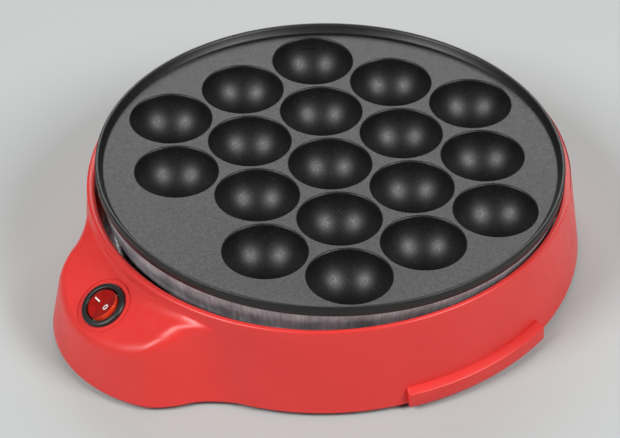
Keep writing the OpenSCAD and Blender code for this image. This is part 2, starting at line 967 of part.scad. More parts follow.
module earth_tab() {
  color(brass)
    frame()
      translate([earth_x, earth_y, pan_floor_z - blade_t])
        difference() {
          translate([-4, -4, 0]) cube([14, 8, blade_t]);
          translate([0, 0, -1]) cylinder(h = 3, r = pilot_r);
        }
}

module earth_screw() {
  color(steel)
    frame()
      translate([earth_x, earth_y, pan_floor_z - blade_t - screw_head_h])
        screw_up(blade_t + pan_t + 2);
}

module cord_gland() {
  color(black_plastic)
    frame()
      translate([0, 0, gland_z])
        rotate([-90, 0, 0])
          difference() {
            union() {
              translate([0, 0, gland_seat_y - gland_neck])
                cylinder(h = gland_neck + 0.5, r = gland_r);
              translate([0, 0, gland_seat_y]) cylinder(h = gland_flange_t, r = gland_flange_r);
            }
            cylinder(h = gland_back_y + 1, r = gland_bore_r);
          }
}

module cord_clamp() {
  color(black_plastic)
    frame()
      difference() {
        translate([-clamp_w / 2, clamp_y - clamp_d / 2, gland_z + rest_gap / 2])
          cube([clamp_w, clamp_d, clamp_h]);
        translate([0, 0, gland_z]) rotate([-90, 0, 0]) cylinder(h = gland_seat_y, r = clamp_bore_r);
        for (side = [-1, 1])
          translate([side * clamp_screw_x, clamp_y, gland_z])
            cylinder(h = 2 * clamp_h, r = pilot_r);
      }
}

module clamp_screws() {
  color(steel)
    frame()
      for (side = [-1, 1])
        translate([
          side * clamp_screw_x, clamp_y,
          gland_z + rest_gap / 2 + clamp_h + screw_head_h
        ])
          rotate([180, 0, 0]) screw_up(clamp_h + 4);
}

// ---- Leads ----

lead_sides = 8;
lead_bend = 7; // how far before a corner a lead starts to bend

function unit(v) = v / norm(v);

// The route with each inner corner cut by three points on a curve
function rounded_route(points) = [
  points[0],
  for (i = [1 : len(points) - 2])
    let (
      back = points[i - 1] - points[i],
      ahead = points[i + 1] - points[i],
      cut = min(lead_bend, 0.4 * norm(back), 0.4 * norm(ahead)),
      start = points[i] + cut * unit(back),
      end = points[i] + cut * unit(ahead)
    )
    each [start, (start + 2 * points[i] + end) / 4, end],
  points[len(points) - 1]
];

// Direction of a tube at point i: halfway between the steps before and after it
function heading(points, i) =
  let (
    last = len(points) - 1,
    before = i > 0 ? unit(points[i] - points[i - 1]) : [0, 0, 0],
    after = i < last ? unit(points[i + 1] - points[i]) : [0, 0, 0]
  )
  unit(before + after);

// The part of a vector that is square to a direction
function square_to(v, direction) = unit(v - (v * direction) * direction);

// First ring's sideways direction, then the same one carried along the tube
function sideways(points, i) =
  let (
    direction = heading(points, i),
    start = abs(direction[0]) < 0.8 ? [1, 0, 0] : [0, 1, 0]
  )
  i == 0 ? square_to(start, direction) : square_to(sideways(points, i - 1), direction);

// Corners of the ring at point i
function tube_ring(points, i, r, sides) =
  let (
    direction = heading(points, i),
    across = sideways(points, i),
    up = cross(direction, across)
  )
  [for (j = [0 : sides - 1]) points[i] + r * (cos(j * 360 / sides) * across + sin(j * 360 / sides) * up)];

// Faces of a closed tube of rings, each ring's corners running the same way round
function tube_faces(rings, sides) = concat(
  [
    for (i = [0 : rings - 2], j = [0 : sides - 1])
      let (
        a = i * sides + j,
        b = i * sides + (j + 1) % sides
      )
      each [[a, a + sides, b + sides], [a, b + sides, b]]
  ],
  [for (j = [1 : sides - 2]) [0, j, j + 1]],
  [
    for (j = [1 : sides - 2])
      let (first = (rings - 1) * sides)
      [first, first + j + 1, first + j]
  ]
);

// A lead along its points, with round bends
module lead(points, r) {
  route = rounded_route(points);
  corners = [for (i = [0 : len(route) - 1]) each tube_ring(route, i, r, lead_sides)];
  frame() polyhedron(points = corners, faces = tube_faces(len(route), lead_sides));
}

blade_end = [0, -switch_y, panel_z]
  - (switch_depth + switch_blade_l + rest_gap) * [0, -sin(panel_slope), cos(panel_slope)];
block_front = block_y - block_d / 2 + 2;
wire_z = low_z + 0.6;
before_block = block_y - 16;
lane_x = 62;
leg_end_y = -heater_leg_y - seal_l - 6;
leg_end_z = heater_z - blade_t / 2 - rest_gap;
stat_blade_x = thermostat_r + 5;
stat_blade_z = blade_z + blade_t + rest_gap;
fuse_end = fuse_l / 2 + fuse_wire_l + rest_gap;

module lead_live() {
  color([0.45, 0.25, 0.12])
    lead([
      [block_places[0], block_front, wire_z], [block_places[0], before_block, wire_z],
      [-lane_x, 30, low_z], [-lane_x, -84, low_z], [-10, -114, low_z],
      blade_end + [-switch_blade_x, 1.5, -lead_r - 3],
      blade_end + [-switch_blade_x, 0, -lead_r]
    ], lead_r);
}

module lead_neutral() {
  color([0.2, 0.35, 0.7])
    lead([
      [block_places[1], block_front, wire_z], [block_places[1], before_block, wire_z],
      [lane_x, 30, low_z], [lane_x, -84, low_z], [30, -112, low_z],
      [heater_leg_x, leg_end_y, low_z], [heater_leg_x, leg_end_y, leg_end_z]
    ], lead_r);
}

module lead_switched() {
  color([0.2, 0.2, 0.2])
    lead([
      blade_end + [switch_blade_x, 0, -lead_r],
      blade_end + [switch_blade_x, 1.5, -lead_r - 2],
      [stat_blade_x, -106, high_z], [stat_blade_x, -sensor_y, high_z],
      [stat_blade_x, -sensor_y, stat_blade_z]
    ], lead_r);
}

module lead_fused() {
  color([0.2, 0.2, 0.2])
    lead([
      [-stat_blade_x, -sensor_y, stat_blade_z], [-stat_blade_x, -sensor_y, fuse_z],
      [-16, -fuse_y, fuse_z], [fuse_x + fuse_end, -fuse_y, fuse_z]
    ], lead_r);
}

module lead_heater() {
  color([0.2, 0.2, 0.2])
    lead([
      [fuse_x - fuse_end, -fuse_y, fuse_z], [-56, -fuse_y, fuse_z],
      [-56, -94, high_z], [-36, -112, high_z],
      [-heater_leg_x, leg_end_y, high_z], [-heater_leg_x, leg_end_y, leg_end_z]
    ], lead_r);
}

module lead_earth() {
  color([0.3, 0.6, 0.2])
    lead([
      [block_places[2], block_front, wire_z], [block_places[2], block_front - 5, wire_z],
      [30, 80, low_z + 1], [earth_x + 7, 76, low_z + 2],
      [earth_x + 7, earth_y, pan_floor_z - blade_t - rest_gap - lead_r]
    ], lead_r);
}

housing();
bottom_cover();
rubber_feet();
cover_screws();
reflector_pan();
pan_screws();
cooking_plate();
plate_posts();
post_screws();
heater_element();
heater_end_seals();
heater_terminals();
heater_clips();
sensor_guide();
sensor_plunger();
sensor_spring();
thermostat_body();
thermostat_terminals();
thermal_fuse();
fuse_clip();
switch_body();
switch_rocker();
rocker_marks();
pivot_pin();
switch_terminals();
neon_lamp();
terminal_block();
terminal_screws();
earth_tab();
earth_screw();
cord_gland();
cord_clamp();
clamp_screws();
lead_live();
lead_neutral();
lead_switched();
lead_fused();
lead_heater();
lead_earth();
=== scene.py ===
"""Looks of a takoyaki maker: a red moulded base, a loose cast plate with 18 cavities, a rocker switch.

The CAD frame gives every place. Pieces are modelled in millimetres round the base's axis, with z = 0
on the table, and moved into the frame in metres as the last step of each.
"""

import json
import logging
import math
from dataclasses import dataclass
from enum import Enum
from typing import Callable, Iterable, Optional, Sequence

import bmesh
import bpy
import numpy as np
from mathutils import Matrix, Vector

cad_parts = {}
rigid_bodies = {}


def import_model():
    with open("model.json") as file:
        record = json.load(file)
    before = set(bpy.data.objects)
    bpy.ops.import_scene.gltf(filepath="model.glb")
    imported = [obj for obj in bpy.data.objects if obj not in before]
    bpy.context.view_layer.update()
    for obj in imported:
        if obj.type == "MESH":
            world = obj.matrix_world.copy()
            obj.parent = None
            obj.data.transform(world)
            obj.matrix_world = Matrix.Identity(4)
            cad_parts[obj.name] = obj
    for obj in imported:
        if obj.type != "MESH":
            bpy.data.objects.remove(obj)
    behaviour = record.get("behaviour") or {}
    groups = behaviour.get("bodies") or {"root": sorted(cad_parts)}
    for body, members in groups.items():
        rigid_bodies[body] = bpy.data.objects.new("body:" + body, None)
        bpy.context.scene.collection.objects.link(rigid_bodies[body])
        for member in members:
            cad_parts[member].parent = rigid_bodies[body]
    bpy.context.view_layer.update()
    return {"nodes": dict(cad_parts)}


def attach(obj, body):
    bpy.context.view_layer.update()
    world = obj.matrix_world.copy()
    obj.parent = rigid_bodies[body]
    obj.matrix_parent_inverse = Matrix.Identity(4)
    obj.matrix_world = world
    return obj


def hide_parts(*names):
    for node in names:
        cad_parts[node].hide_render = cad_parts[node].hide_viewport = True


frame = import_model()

logging.basicConfig(level=logging.INFO, format="%(levelname)s %(message)s")
log = logging.getLogger("takoyaki_maker")

MM = 0.001
Profile = Sequence[tuple[float, float]]


# ---------------------------------------------------------------- colours and nodes


def from_hex(code: str) -> tuple[float, float, float, float]:
    """Turns an sRGB hex colour to a linear one.

    Args:
        code: six hex digits, with or without a leading hash.

    Returns:
        Linear red, green and blue with an alpha of 1.
    """
    digits = code.lstrip("#")
    channels = [int(digits[i:i + 2], 16) / 255 for i in (0, 2, 4)]
    linear = [c / 12.92 if c <= 0.04045 else ((c + 0.055) / 1.055) ** 2.4 for c in channels]
    return (*linear, 1.0)


def add_node(
    tree: bpy.types.NodeTree, kind: str, inputs: Optional[dict] = None, **settings: object
) -> bpy.types.Node:
    """Adds a node with its settings, and sets or links its inputs.

    Args:
        tree: the material's node tree.
        kind: the node's type name.
        inputs: socket name or number to a value, or to the socket that feeds it.
        settings: the node's own properties.

    Returns:
        The new node.
    """
    made = tree.nodes.new(kind)
    for name, value in settings.items():
        setattr(made, name, value)
    for socket, value in (inputs or {}).items():
        if isinstance(value, bpy.types.NodeSocket):
            tree.links.new(value, made.inputs[socket])
        else:
            made.inputs[socket].default_value = value
    return made


def per_metre(size_mm: float) -> float:
    """Noise scale, in repeats per metre, of a pattern whose features are that many millimetres wide."""
    return 1.0 / (size_mm * MM)


def new_surface(
    name: str, **shader: object
) -> tuple[bpy.types.Material, bpy.types.NodeTree, bpy.types.Node]:
    """Makes a material with one Principled shader.

    Args:
        name: the material's name.
        shader: socket names, with underscores for spaces, and their constant values.

    Returns:
        The material, its node tree and its shader.
    """
    material = bpy.data.materials.new(name)
    material.use_nodes = True
    tree = material.node_tree
    surface = tree.nodes["Principled BSDF"]
    for socket, value in shader.items():
        surface.inputs[socket.replace("_", " ")].default_value = value
    return material, tree, surface


def grain(tree: bpy.types.NodeTree, size_mm: float, detail: float = 2.0) -> bpy.types.Node:
    """Noise on Object coordinates with features of a real size."""
    vector = add_node(tree, "ShaderNodeTexCoord").outputs["Object"]
    return add_node(
        tree, "ShaderNodeTexNoise", {"Vector": vector, "Scale": per_metre(size_mm), "Detail": detail}
    )


def spread(
    tree: bpy.types.NodeTree, value: bpy.types.NodeSocket, low: float, high: float,
    start: float = 0.3, end: float = 0.7,
) -> bpy.types.NodeSocket:
    """Maps a pattern from one range to another.

    Args:
        tree: the material's node tree.
        value: the pattern.
        low: what the pattern's start becomes.
        high: what the pattern's end becomes.
        start: the lower end of the pattern's own range.
        end: the upper end of it.

    Returns:
        The result's socket.
    """
    mapped = add_node(
        tree, "ShaderNodeMapRange",
        {"Value": value, "From Min": start, "From Max": end, "To Min": low, "To Max": high},
    )
    return mapped.outputs["Result"]


def tint(
    tree: bpy.types.NodeTree, value: bpy.types.NodeSocket, dark: str, light: str
) -> bpy.types.NodeSocket:
    """Mixes two hex colours by a pattern and returns the colour's socket."""
    mixed = add_node(
        tree, "ShaderNodeMix", {0: value, 6: from_hex(dark), 7: from_hex(light)}, data_type="RGBA"
    )
    return mixed.outputs[2]


def roughen(
    tree: bpy.types.NodeTree, surface: bpy.types.Node, height: bpy.types.NodeSocket, depth_mm: float
) -> None:
    """Gives the surface a bump of a real depth from a 0..1 height pattern."""
    bump = add_node(
        tree, "ShaderNodeBump", {"Height": height, "Distance": depth_mm * MM, "Strength": 1.0}
    )
    tree.links.new(bump.outputs["Normal"], surface.inputs["Normal"])


# ---------------------------------------------------------------- finishes


@dataclass(frozen=True)
class MouldedPlastic:
    """ABS or nylon from a satin mould: an even colour, a faint orange peel, gloss that varies a little."""

    name: str
    shade: str
    light: str
    roughness: float = 0.25
    peel_mm: float = 3.0
    peel_depth_mm: float = 0.012
    cloud_mm: float = 26.0  # the colour drifts this slowly
    haze_mm: float = 7.0  # and the gloss this slowly, as handling leaves it

    def build(self) -> bpy.types.Material:
        """Makes the material."""
        material, tree, surface = new_surface(self.name, IOR=1.5)
        cloud = grain(tree, self.cloud_mm).outputs["Fac"]
        haze = grain(tree, self.haze_mm, 4.0).outputs["Fac"]
        peel = grain(tree, self.peel_mm).outputs["Fac"]
        colour = tint(tree, spread(tree, cloud, 0, 1), self.shade, self.light)
        tree.links.new(colour, surface.inputs["Base Color"])
        rough = spread(tree, haze, self.roughness * 0.9, self.roughness * 1.15)
        tree.links.new(rough, surface.inputs["Roughness"])
        roughen(tree, surface, peel, self.peel_depth_mm)
        return material


@dataclass(frozen=True)
class NonStickCoating:
    """Sprayed and baked PTFE with mica: near black, satin, a fine tooth that makes highlights grainy."""

    name: str = "ptfe_with_mica"
    shade: str = "#0B0B0B"
    light: str = "#0F0F0F"
    fleck: str = "#242424"
    roughness: float = 0.43
    tooth_mm: float = 0.7  # the real tooth is about 0.1 mm, too fine to show, so it is drawn coarser
    tooth_depth_mm: float = 0.026
    fleck_share: float = 0.06
    cloud_mm: float = 30.0
    gloss_range: float = 0.05  # each speck of mica is this much duller or glossier

    def build(self) -> bpy.types.Material:
        """Makes the material."""
        material, tree, surface = new_surface(self.name, IOR=1.5)
        cloud = grain(tree, self.cloud_mm).outputs["Fac"]
        ground = tint(tree, spread(tree, cloud, 0, 1), self.shade, self.light)
        coordinates = add_node(tree, "ShaderNodeTexCoord").outputs["Object"]
        cells = add_node(
            tree, "ShaderNodeTexVoronoi", {"Vector": coordinates, "Scale": per_metre(self.tooth_mm)}
        )
        chance = add_node(tree, "ShaderNodeSeparateColor", {"Color": cells.outputs["Color"]})
        flecks = spread(tree, chance.outputs["Red"], 0.0, 1.0, 1 - self.fleck_share, 1.0)
        colour = add_node(
            tree, "ShaderNodeMix", {0: flecks, 6: ground, 7: from_hex(self.fleck)}, data_type="RGBA"
        )
        tree.links.new(colour.outputs[2], surface.inputs["Base Color"])
        rough = spread(
            tree, chance.outputs["Green"],
            self.roughness - self.gloss_range, self.roughness + self.gloss_range, 0.0, 1.0,
        )
        tree.links.new(rough, surface.inputs["Roughness"])
        roughen(tree, surface, grain(tree, self.tooth_mm, 3.0).outputs["Fac"], self.tooth_depth_mm)
        return material


@dataclass(frozen=True)
class TurnedAluminium:
    """Die-cast aluminium skimmed on a lathe: bare, dull grey oxide, with fine marks across the cut."""

    name: str = "turned_cast_aluminium"
    shade: str = "#90959A"
    light: str = "#C8CDD1"
    metal: float = 0.35  # the rest is the oxide's dull skin
    roughness: float = 0.5
    marks_round: int = 420  # tool marks round the rim, from the uneven cut

    def build(self) -> bpy.types.Material:
        """Makes the material, on the piece's own UV map: u runs round the rim, v up it."""
        material, tree, surface = new_surface(self.name, Metallic=self.metal)
        uv = add_node(tree, "ShaderNodeUVMap", uv_map="UVMap").outputs["UV"]
        marks = self.streaks(tree, uv, self.marks_round, 3.0)
        patches = self.streaks(tree, uv, self.marks_round / 9, 2.0)
        both = add_node(tree, "ShaderNodeMath", {0: marks, 1: patches}, operation="ADD").outputs["Value"]
        pattern = spread(tree, both, 0.0, 1.0, 0.75, 1.25)
        colour = tint(tree, pattern, self.shade, self.light)
        tree.links.new(colour, surface.inputs["Base Color"])
        rough = spread(tree, both, self.roughness - 0.07, self.roughness + 0.1, 0.75, 1.25)
        tree.links.new(rough, surface.inputs["Roughness"])
        roughen(tree, surface, marks, 0.03)
        return material

    def streaks(
        self, tree: bpy.types.NodeTree, uv: bpy.types.NodeSocket, round_count: float, detail: float
    ) -> bpy.types.NodeSocket:
        """Draws noise stretched up the rim.

        Args:
            tree: the material's node tree.
            uv: the piece's UV map.
            round_count: number of streaks round the rim.
            detail: the noise's detail.

        Returns:
            The noise's socket.
        """
        stretched = add_node(tree, "ShaderNodeMapping", {"Vector": uv, "Scale": (round_count, 1.5, 1.0)})
        noise = add_node(
            tree, "ShaderNodeTexNoise",
            {"Vector": stretched.outputs["Vector"], "Scale": 1.0, "Detail": detail},
        )
        return noise.outputs["Fac"]


@dataclass(frozen=True)
class PlainMetal:
    """Drawn, rolled or plated metal: a fine grain in colour and gloss."""

    name: str
    shade: str
    light: str
    roughness: float = 0.35
    grain_mm: float = 1.2
    grain_depth_mm: float = 0.01

    def build(self) -> bpy.types.Material:
        """Makes the material."""
        material, tree, surface = new_surface(self.name, Metallic=1.0)
        fine = grain(tree, self.grain_mm, 3.0).outputs["Fac"]
        colour = tint(tree, spread(tree, fine, 0, 1), self.shade, self.light)
        tree.links.new(colour, surface.inputs["Base Color"])
        rough = spread(tree, fine, self.roughness - 0.05, self.roughness + 0.1)
        tree.links.new(rough, surface.inputs["Roughness"])
        roughen(tree, surface, fine, self.grain_depth_mm)
        return material


@dataclass(frozen=True)
class DullSolid:
    """Rubber, unglazed ceramic, print or lead sleeve: no metal, a matt grain of a real size."""

    name: str
    shade: str
    light: str
    roughness: float = 0.75
    grain_mm: float = 0.8
    grain_depth_mm: float = 0.02

    def build(self) -> bpy.types.Material:
        """Makes the material."""
        material, tree, surface = new_surface(self.name, IOR=1.5)
        fine = grain(tree, self.grain_mm, 3.0).outputs["Fac"]
        colour = tint(tree, spread(tree, fine, 0, 1), self.shade, self.light)
        tree.links.new(colour, surface.inputs["Base Color"])
        rough = spread(tree, fine, self.roughness - 0.08, self.roughness + 0.08)
        tree.links.new(rough, surface.inputs["Roughness"])
        roughen(tree, surface, fine, self.grain_depth_mm)
        return material


@dataclass(frozen=True)
class TintedClearPlastic:
    """Clear red polycarbonate: polished and deep red; a lighter orange-red copy of it is painted glow where
    light comes through.
    """

    name: str
    shade: str
    light: str
    scatter: float = 0.2
    cloud_mm: float = 4.0
    peel_mm: float = 3.0
    peel_depth_mm: float = 0.002

    def build(self) -> bpy.types.Material:
        """Makes the material."""
        material, tree, surface = new_surface(
            self.name, IOR=1.58, Roughness=0.14, Subsurface_Weight=self.scatter,
            Subsurface_Radius=(0.003, 0.0006, 0.0003), Subsurface_Scale=1.0,
        )
        cloud = grain(tree, self.cloud_mm).outputs["Fac"]
        colour = tint(tree, spread(tree, cloud, 0, 1), self.shade, self.light)
        tree.links.new(colour, surface.inputs["Base Color"])
        roughen(tree, surface, grain(tree, self.peel_mm).outputs["Fac"], self.peel_depth_mm)
        return material


@dataclass(frozen=True)
class LampGlass:
    """Small clear bulb glass with a warm tint."""

    name: str = "lamp_glass"

    def build(self) -> bpy.types.Material:
        """Makes the material."""
        material, tree, surface = new_surface(
            self.name, IOR=1.47, Roughness=0.03, Transmission_Weight=0.9
        )
        cloud = grain(tree, 3.0).outputs["Fac"]
        tree.links.new(tint(tree, cloud, "#FFB27A", "#FFC796"), surface.inputs["Base Color"])
        return material


class Finish(Enum):
    """Every finish on the cooker, by what it is and how its surface was made; the rocker's orange-red edge
    is painted glow.
    """

    RED_ABS = MouldedPlastic("red_abs_satin_gloss", "#D5312D", "#DA3531", 0.36, 2.5, 0.006)
    BLACK_ABS = MouldedPlastic("black_abs_satin", "#161616", "#1D1D1D", 0.5, 1.2, 0.03)
    SWITCH_NYLON = MouldedPlastic("black_nylon_satin", "#171918", "#222423", 0.36, 1.0, 0.01)
    COATING = NonStickCoating()
    BARE_RIM = TurnedAluminium()
    ROCKER = TintedClearPlastic("tinted_polycarbonate", "#8C0F0B", "#A3140E")
    # painted glow: a lighter orange-red than the rocker's own red, put on its edge faces to stand in for
    # light coming through them
    ROCKER_EDGE = TintedClearPlastic("tinted_polycarbonate_painted_glow", "#DC3A1C", "#E64A26", 0.4)
    PRINT = DullSolid("white_print", "#E9E7E4", "#F4F2F0", 0.5, 0.6, 0.004)
    RUBBER = DullSolid("moulded_rubber", "#151515", "#1E1E1E", 0.8, 0.9, 0.02)
    CERAMIC = DullSolid("unglazed_steatite", "#CFC8B8", "#DDD7C9", 0.7, 0.9, 0.02)
    ZINC_STEEL = PlainMetal("zinc_plated_steel", "#A9ABAD", "#C3C5C6", 0.3)
    SHEET_STEEL = PlainMetal("rolled_steel", "#9A9B9C", "#B4B5B6", 0.35)
    PAN_ALUMINIUM = PlainMetal("rolled_aluminium", "#B9BABB", "#CFD0D1", 0.3, 2.5)
    SHEATH = PlainMetal("oxidised_heater_sheath", "#4B4847", "#63605E", 0.5, 1.5)
    BRASS = PlainMetal("stamped_brass", "#B08A45", "#CBA55E", 0.3)
    LAMP = LampGlass()
    BROWN_LEAD = DullSolid("brown_lead_sleeve", "#4A2B16", "#5A361D", 0.45, 1.0, 0.005)
    BLUE_LEAD = DullSolid("blue_lead_sleeve", "#1C3F8C", "#244A9C", 0.45, 1.0, 0.005)
    BLACK_LEAD = DullSolid("black_lead_sleeve", "#121212", "#1B1B1B", 0.45, 1.0, 0.005)
    GREEN_LEAD = DullSolid("green_lead_sleeve", "#3F7F22", "#5A9A2C", 0.45, 1.0, 0.005)


class Dresser:
    """Makes each finish once and puts it on pieces."""

    def __init__(self) -> None:
        """Starts with no material made."""
        self._made: dict[Finish, bpy.types.Material] = {}

    def material(self, finish: Finish) -> bpy.types.Material:
        """Returns the finish's material, made on first use."""
        if finish not in self._made:
            self._made[finish] = finish.value.build()
        return self._made[finish]

    def dress(self, piece: bpy.types.Object, *finishes: Finish) -> None:
        """Puts the finishes in the piece's material slots, in order."""
        piece.data.materials.clear()
        for finish in finishes:
            piece.data.materials.append(self.material(finish))


# ---------------------------------------------------------------- bench


class Bench:
    """The modelling bench: Blender's own operators, one piece at a time, in millimetres."""

    @staticmethod
    def clear() -> None:
        """Deselects everything, so an operator acts on new work only."""
        for item in bpy.context.view_layer.objects:
            item.select_set(False)

    @staticmethod
    def take(piece: bpy.types.Object) -> None:
        """Selects one piece and makes it the active one."""
        Bench.clear()
        piece.select_set(True)
        bpy.context.view_layer.objects.active = piece

    @staticmethod
    def edit(piece: bpy.types.Object, pick: Optional[Callable] = None, mode: str = "VERT") -> None:
        """Opens a piece in edit mode with a selection made by place.

        Args:
            piece: the piece to open.
            pick: says for a vertex, edge or face whether it is selected; None selects everything.
            mode: VERT, EDGE or FACE.
        """
        Bench.take(piece)
        bpy.ops.object.mode_set(mode="EDIT")
        bpy.ops.mesh.select_mode(type=mode)
        bpy.ops.mesh.select_all(action="SELECT" if pick is None else "DESELECT")
        mesh = bmesh.from_edit_mesh(piece.data)
        if pick is not None:
            items = {"VERT": mesh.verts, "EDGE": mesh.edges, "FACE": mesh.faces}[mode]
            for item in items:
                item.select_set(bool(pick(item)))
            mesh.select_flush_mode()
            bmesh.update_edit_mesh(piece.data)

    @staticmethod
    def close() -> None:
        """Leaves edit mode."""
        bpy.ops.object.mode_set(mode="OBJECT")

    @staticmethod
    def tidy(piece: bpy.types.Object, distance: float = 0.002) -> None:
        """Merges doubles and turns all faces outwards."""
        Bench.edit(piece)
        bpy.ops.mesh.remove_doubles(threshold=distance)
        bpy.ops.mesh.normals_make_consistent(inside=False)
        Bench.close()

    @staticmethod
    def turn(name: str, profile: Profile, sides: int) -> bpy.types.Object:
        """Turns a profile round Z: a circle is extruded ring by ring and scaled to each point.

        Args:
            name: the new piece's name.
            profile: radius and height of each ring, in millimetres; a radius of 0 closes at a point.
            sides: number of sides round the axis.

        Returns:
            The turned piece, its axis on the world's Z.
        """
        Bench.clear()
        rings = list(profile)
        reach, pole = 100.0, 0.5  # a ring that closes at a point stays this wide until the end
        bpy.ops.mesh.primitive_circle_add(vertices=sides, radius=reach, location=(0, 0, rings[0][1]))
        piece = bpy.context.object
        piece.name = name
        bpy.ops.object.transform_apply(location=True, rotation=True, scale=True)
        Bench.edit(piece)
        first = max(rings[0][0], pole)
        bpy.ops.transform.resize(
            value=(first / reach, first / reach, 1), center_override=(0, 0, rings[0][1])
        )
        radius, height = first, rings[0][1]
        for next_radius, next_height in rings[1:]:
            wide = max(next_radius, pole)
            bpy.ops.mesh.extrude_region_move(
                TRANSFORM_OT_translate={"value": (0, 0, next_height - height)}
            )
            bpy.ops.transform.resize(
                value=(wide / radius, wide / radius, 1), center_override=(0, 0, next_height)
            )
            radius, height = wide, next_height
        Bench.close()
        tips = [tip for wide, tip in rings if wide == 0]
        for spot in piece.data.vertices:
            is_narrow = math.hypot(spot.co.x, spot.co.y) < pole * 1.01
            if is_narrow and any(abs(spot.co.z - tip) < 0.001 for tip in tips):
                spot.co.x = spot.co.y = 0.0
        Bench.tidy(piece, 0.001)
        return piece

    @staticmethod
    def copies(model: bpy.types.Object, places: Iterable[Matrix]) -> list[bpy.types.Object]:
        """Copies a model to each place, each copy with its own mesh, and removes the model."""
        made = []
        for place in places:
            Bench.take(model)
            bpy.ops.object.duplicate(linked=False)
            copy = bpy.context.object
            copy.data.transform(place)
            made.append(copy)
        bpy.data.objects.remove(model)
        return made

    @staticmethod
    def join(name: str, parts: Sequence[bpy.types.Object]) -> bpy.types.Object:
        """Joins parts to one piece."""
        Bench.clear()
        for part in parts:
            part.select_set(True)
        bpy.context.view_layer.objects.active = parts[0]
        bpy.ops.object.join()
        piece = bpy.context.object
        piece.name = name
        return piece

    @staticmethod
    def modify(piece: bpy.types.Object, kind: str, **settings: object) -> None:
        """Adds a modifier and applies it."""
        Bench.take(piece)
        modifier = piece.modifiers.new(kind.lower(), kind)
        for name, value in settings.items():
            setattr(modifier, name, value)
        bpy.ops.object.modifier_apply(modifier=modifier.name)

    @staticmethod
    def round_edges(piece: bpy.types.Object, width: float, steps: int = 3, angle: float = 30.0) -> None:
        """Rounds every edge sharper than an angle."""
        Bench.modify(
            piece, "BEVEL", width=width, segments=steps, limit_method="ANGLE",
            angle_limit=math.radians(angle), use_clamp_overlap=True,
        )

    @staticmethod
    def cut(piece: bpy.types.Object, cutter: bpy.types.Object) -> None:
        """Cuts a closed cutter out of a piece and removes the cutter."""
        Bench.modify(piece, "BOOLEAN", object=cutter, operation="DIFFERENCE", solver="EXACT")
        bpy.data.objects.remove(cutter)

    @staticmethod
    def smooth(piece: bpy.types.Object, angle: float = 30.0) -> None:
        """Shades a piece smooth, with edges sharper than the angle kept."""
        Bench.take(piece)
        bpy.ops.object.shade_smooth_by_angle(angle=math.radians(angle))

    @staticmethod
    def place(piece: bpy.types.Object, where: Matrix) -> None:
        """Moves a piece from the bench, in millimetres, into the frame, in metres."""
        piece.data.transform(Matrix.Scale(MM, 4) @ where)
        piece.data.update()


@dataclass(frozen=True)
class Seat:
    """The places of the cooker's frames, in millimetres, as in the part's source."""

    axis_y: float = 14.7
    land_z: float = 53.4
    plate_lean: float = 3.6
    switch_y: float = 132.0
    panel_z: float = 34.5
    panel_slope: float = 28.0
    pivot_depth: float = 2.5
    rocker_throw: float = 20.0

    @property
    def base(self) -> Matrix:
        """The base's frame: its axis is Z."""
        return Matrix.Translation((0, self.axis_y, 0))

    @property
    def plate(self) -> Matrix:
        """The plate's frame: the land is at z = 0."""
        lean = Matrix.Rotation(math.radians(-self.plate_lean), 4, "X")
        return self.base @ Matrix.Translation((0, 0, self.land_z)) @ lean

    @property
    def panel(self) -> Matrix:
        """The switch panel's frame: z stands on the panel, y points up its slope."""
        slope = Matrix.Rotation(math.radians(self.panel_slope), 4, "X")
        return self.base @ self.panel_on_base(slope)

    def panel_on_base(self, slope: Matrix) -> Matrix:
        """The panel's frame seen from the base's."""
        return Matrix.Translation((0, -self.switch_y, self.panel_z)) @ slope

    @property
    def rocker(self) -> Matrix:
        """The rocker's frame: its pivot is the origin."""
        turn = Matrix.Rotation(math.radians(-self.rocker_throw / 2), 4, "Y")
        return self.panel @ Matrix.Translation((0, 0, -self.pivot_depth)) @ turn


SEAT = Seat()


def set_in(piece: bpy.types.Object, where: Matrix, body: str, replaced: Sequence[str]) -> None:
    """Puts a finished piece in the frame and tells the frame about it.

    Args:
        piece: the finished piece, in millimetres in its own frame.
        where: that frame.
        body: the CAD body it rides on.
        replaced: the CAD nodes it stands for.
    """
    Bench.place(piece, where)
    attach(piece, body)
    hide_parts(*replaced)
    log.info("%s: %d faces", piece.name, len(piece.data.polygons))


# ---------------------------------------------------------------- base


def rounded_and(a: np.ndarray, b: np.ndarray, radius: float) -> np.ndarray:
    """Distance to what lies inside both shapes, its edge rounded outwards."""
    corner = np.hypot(np.maximum(a + radius, 0), np.maximum(b + radius, 0))
    return np.minimum(np.maximum(a, b), -radius) + corner


def rounded_or(a: np.ndarray, b: np.ndarray, radius: np.ndarray) -> np.ndarray:
    """Distance to what lies inside either shape, with a hollow fillet between them."""
    corner = np.hypot(np.maximum(radius - a, 0), np.maximum(radius - b, 0))
    return np.maximum(np.minimum(a, b), radius) - corner


def skewed_and(a: np.ndarray, b: np.ndarray, radius: float, cosine: np.ndarray) -> np.ndarray:
    """Distance to what lies inside two shapes that meet at any angle, their edge a true round.

    Args:
        a, b: distances outside the two shapes.
        radius: the round's radius.
        cosine: cosine of the angle between the two surfaces' outward normals.

    Returns:
        The distance outside what they share.
    """
    u, v = a + radius, b + radius
    square = 1 - cosine ** 2
    along_a = (u - cosine * v) / square
    along_b = (v - cosine * u) / square
    from_hub = np.sqrt(np.maximum((u * u + v * v - 2 * cosine * u * v) / square, 0))
    return np.where((along_a > 0) & (along_b > 0), from_hub - radius, np.maximum(a, b))


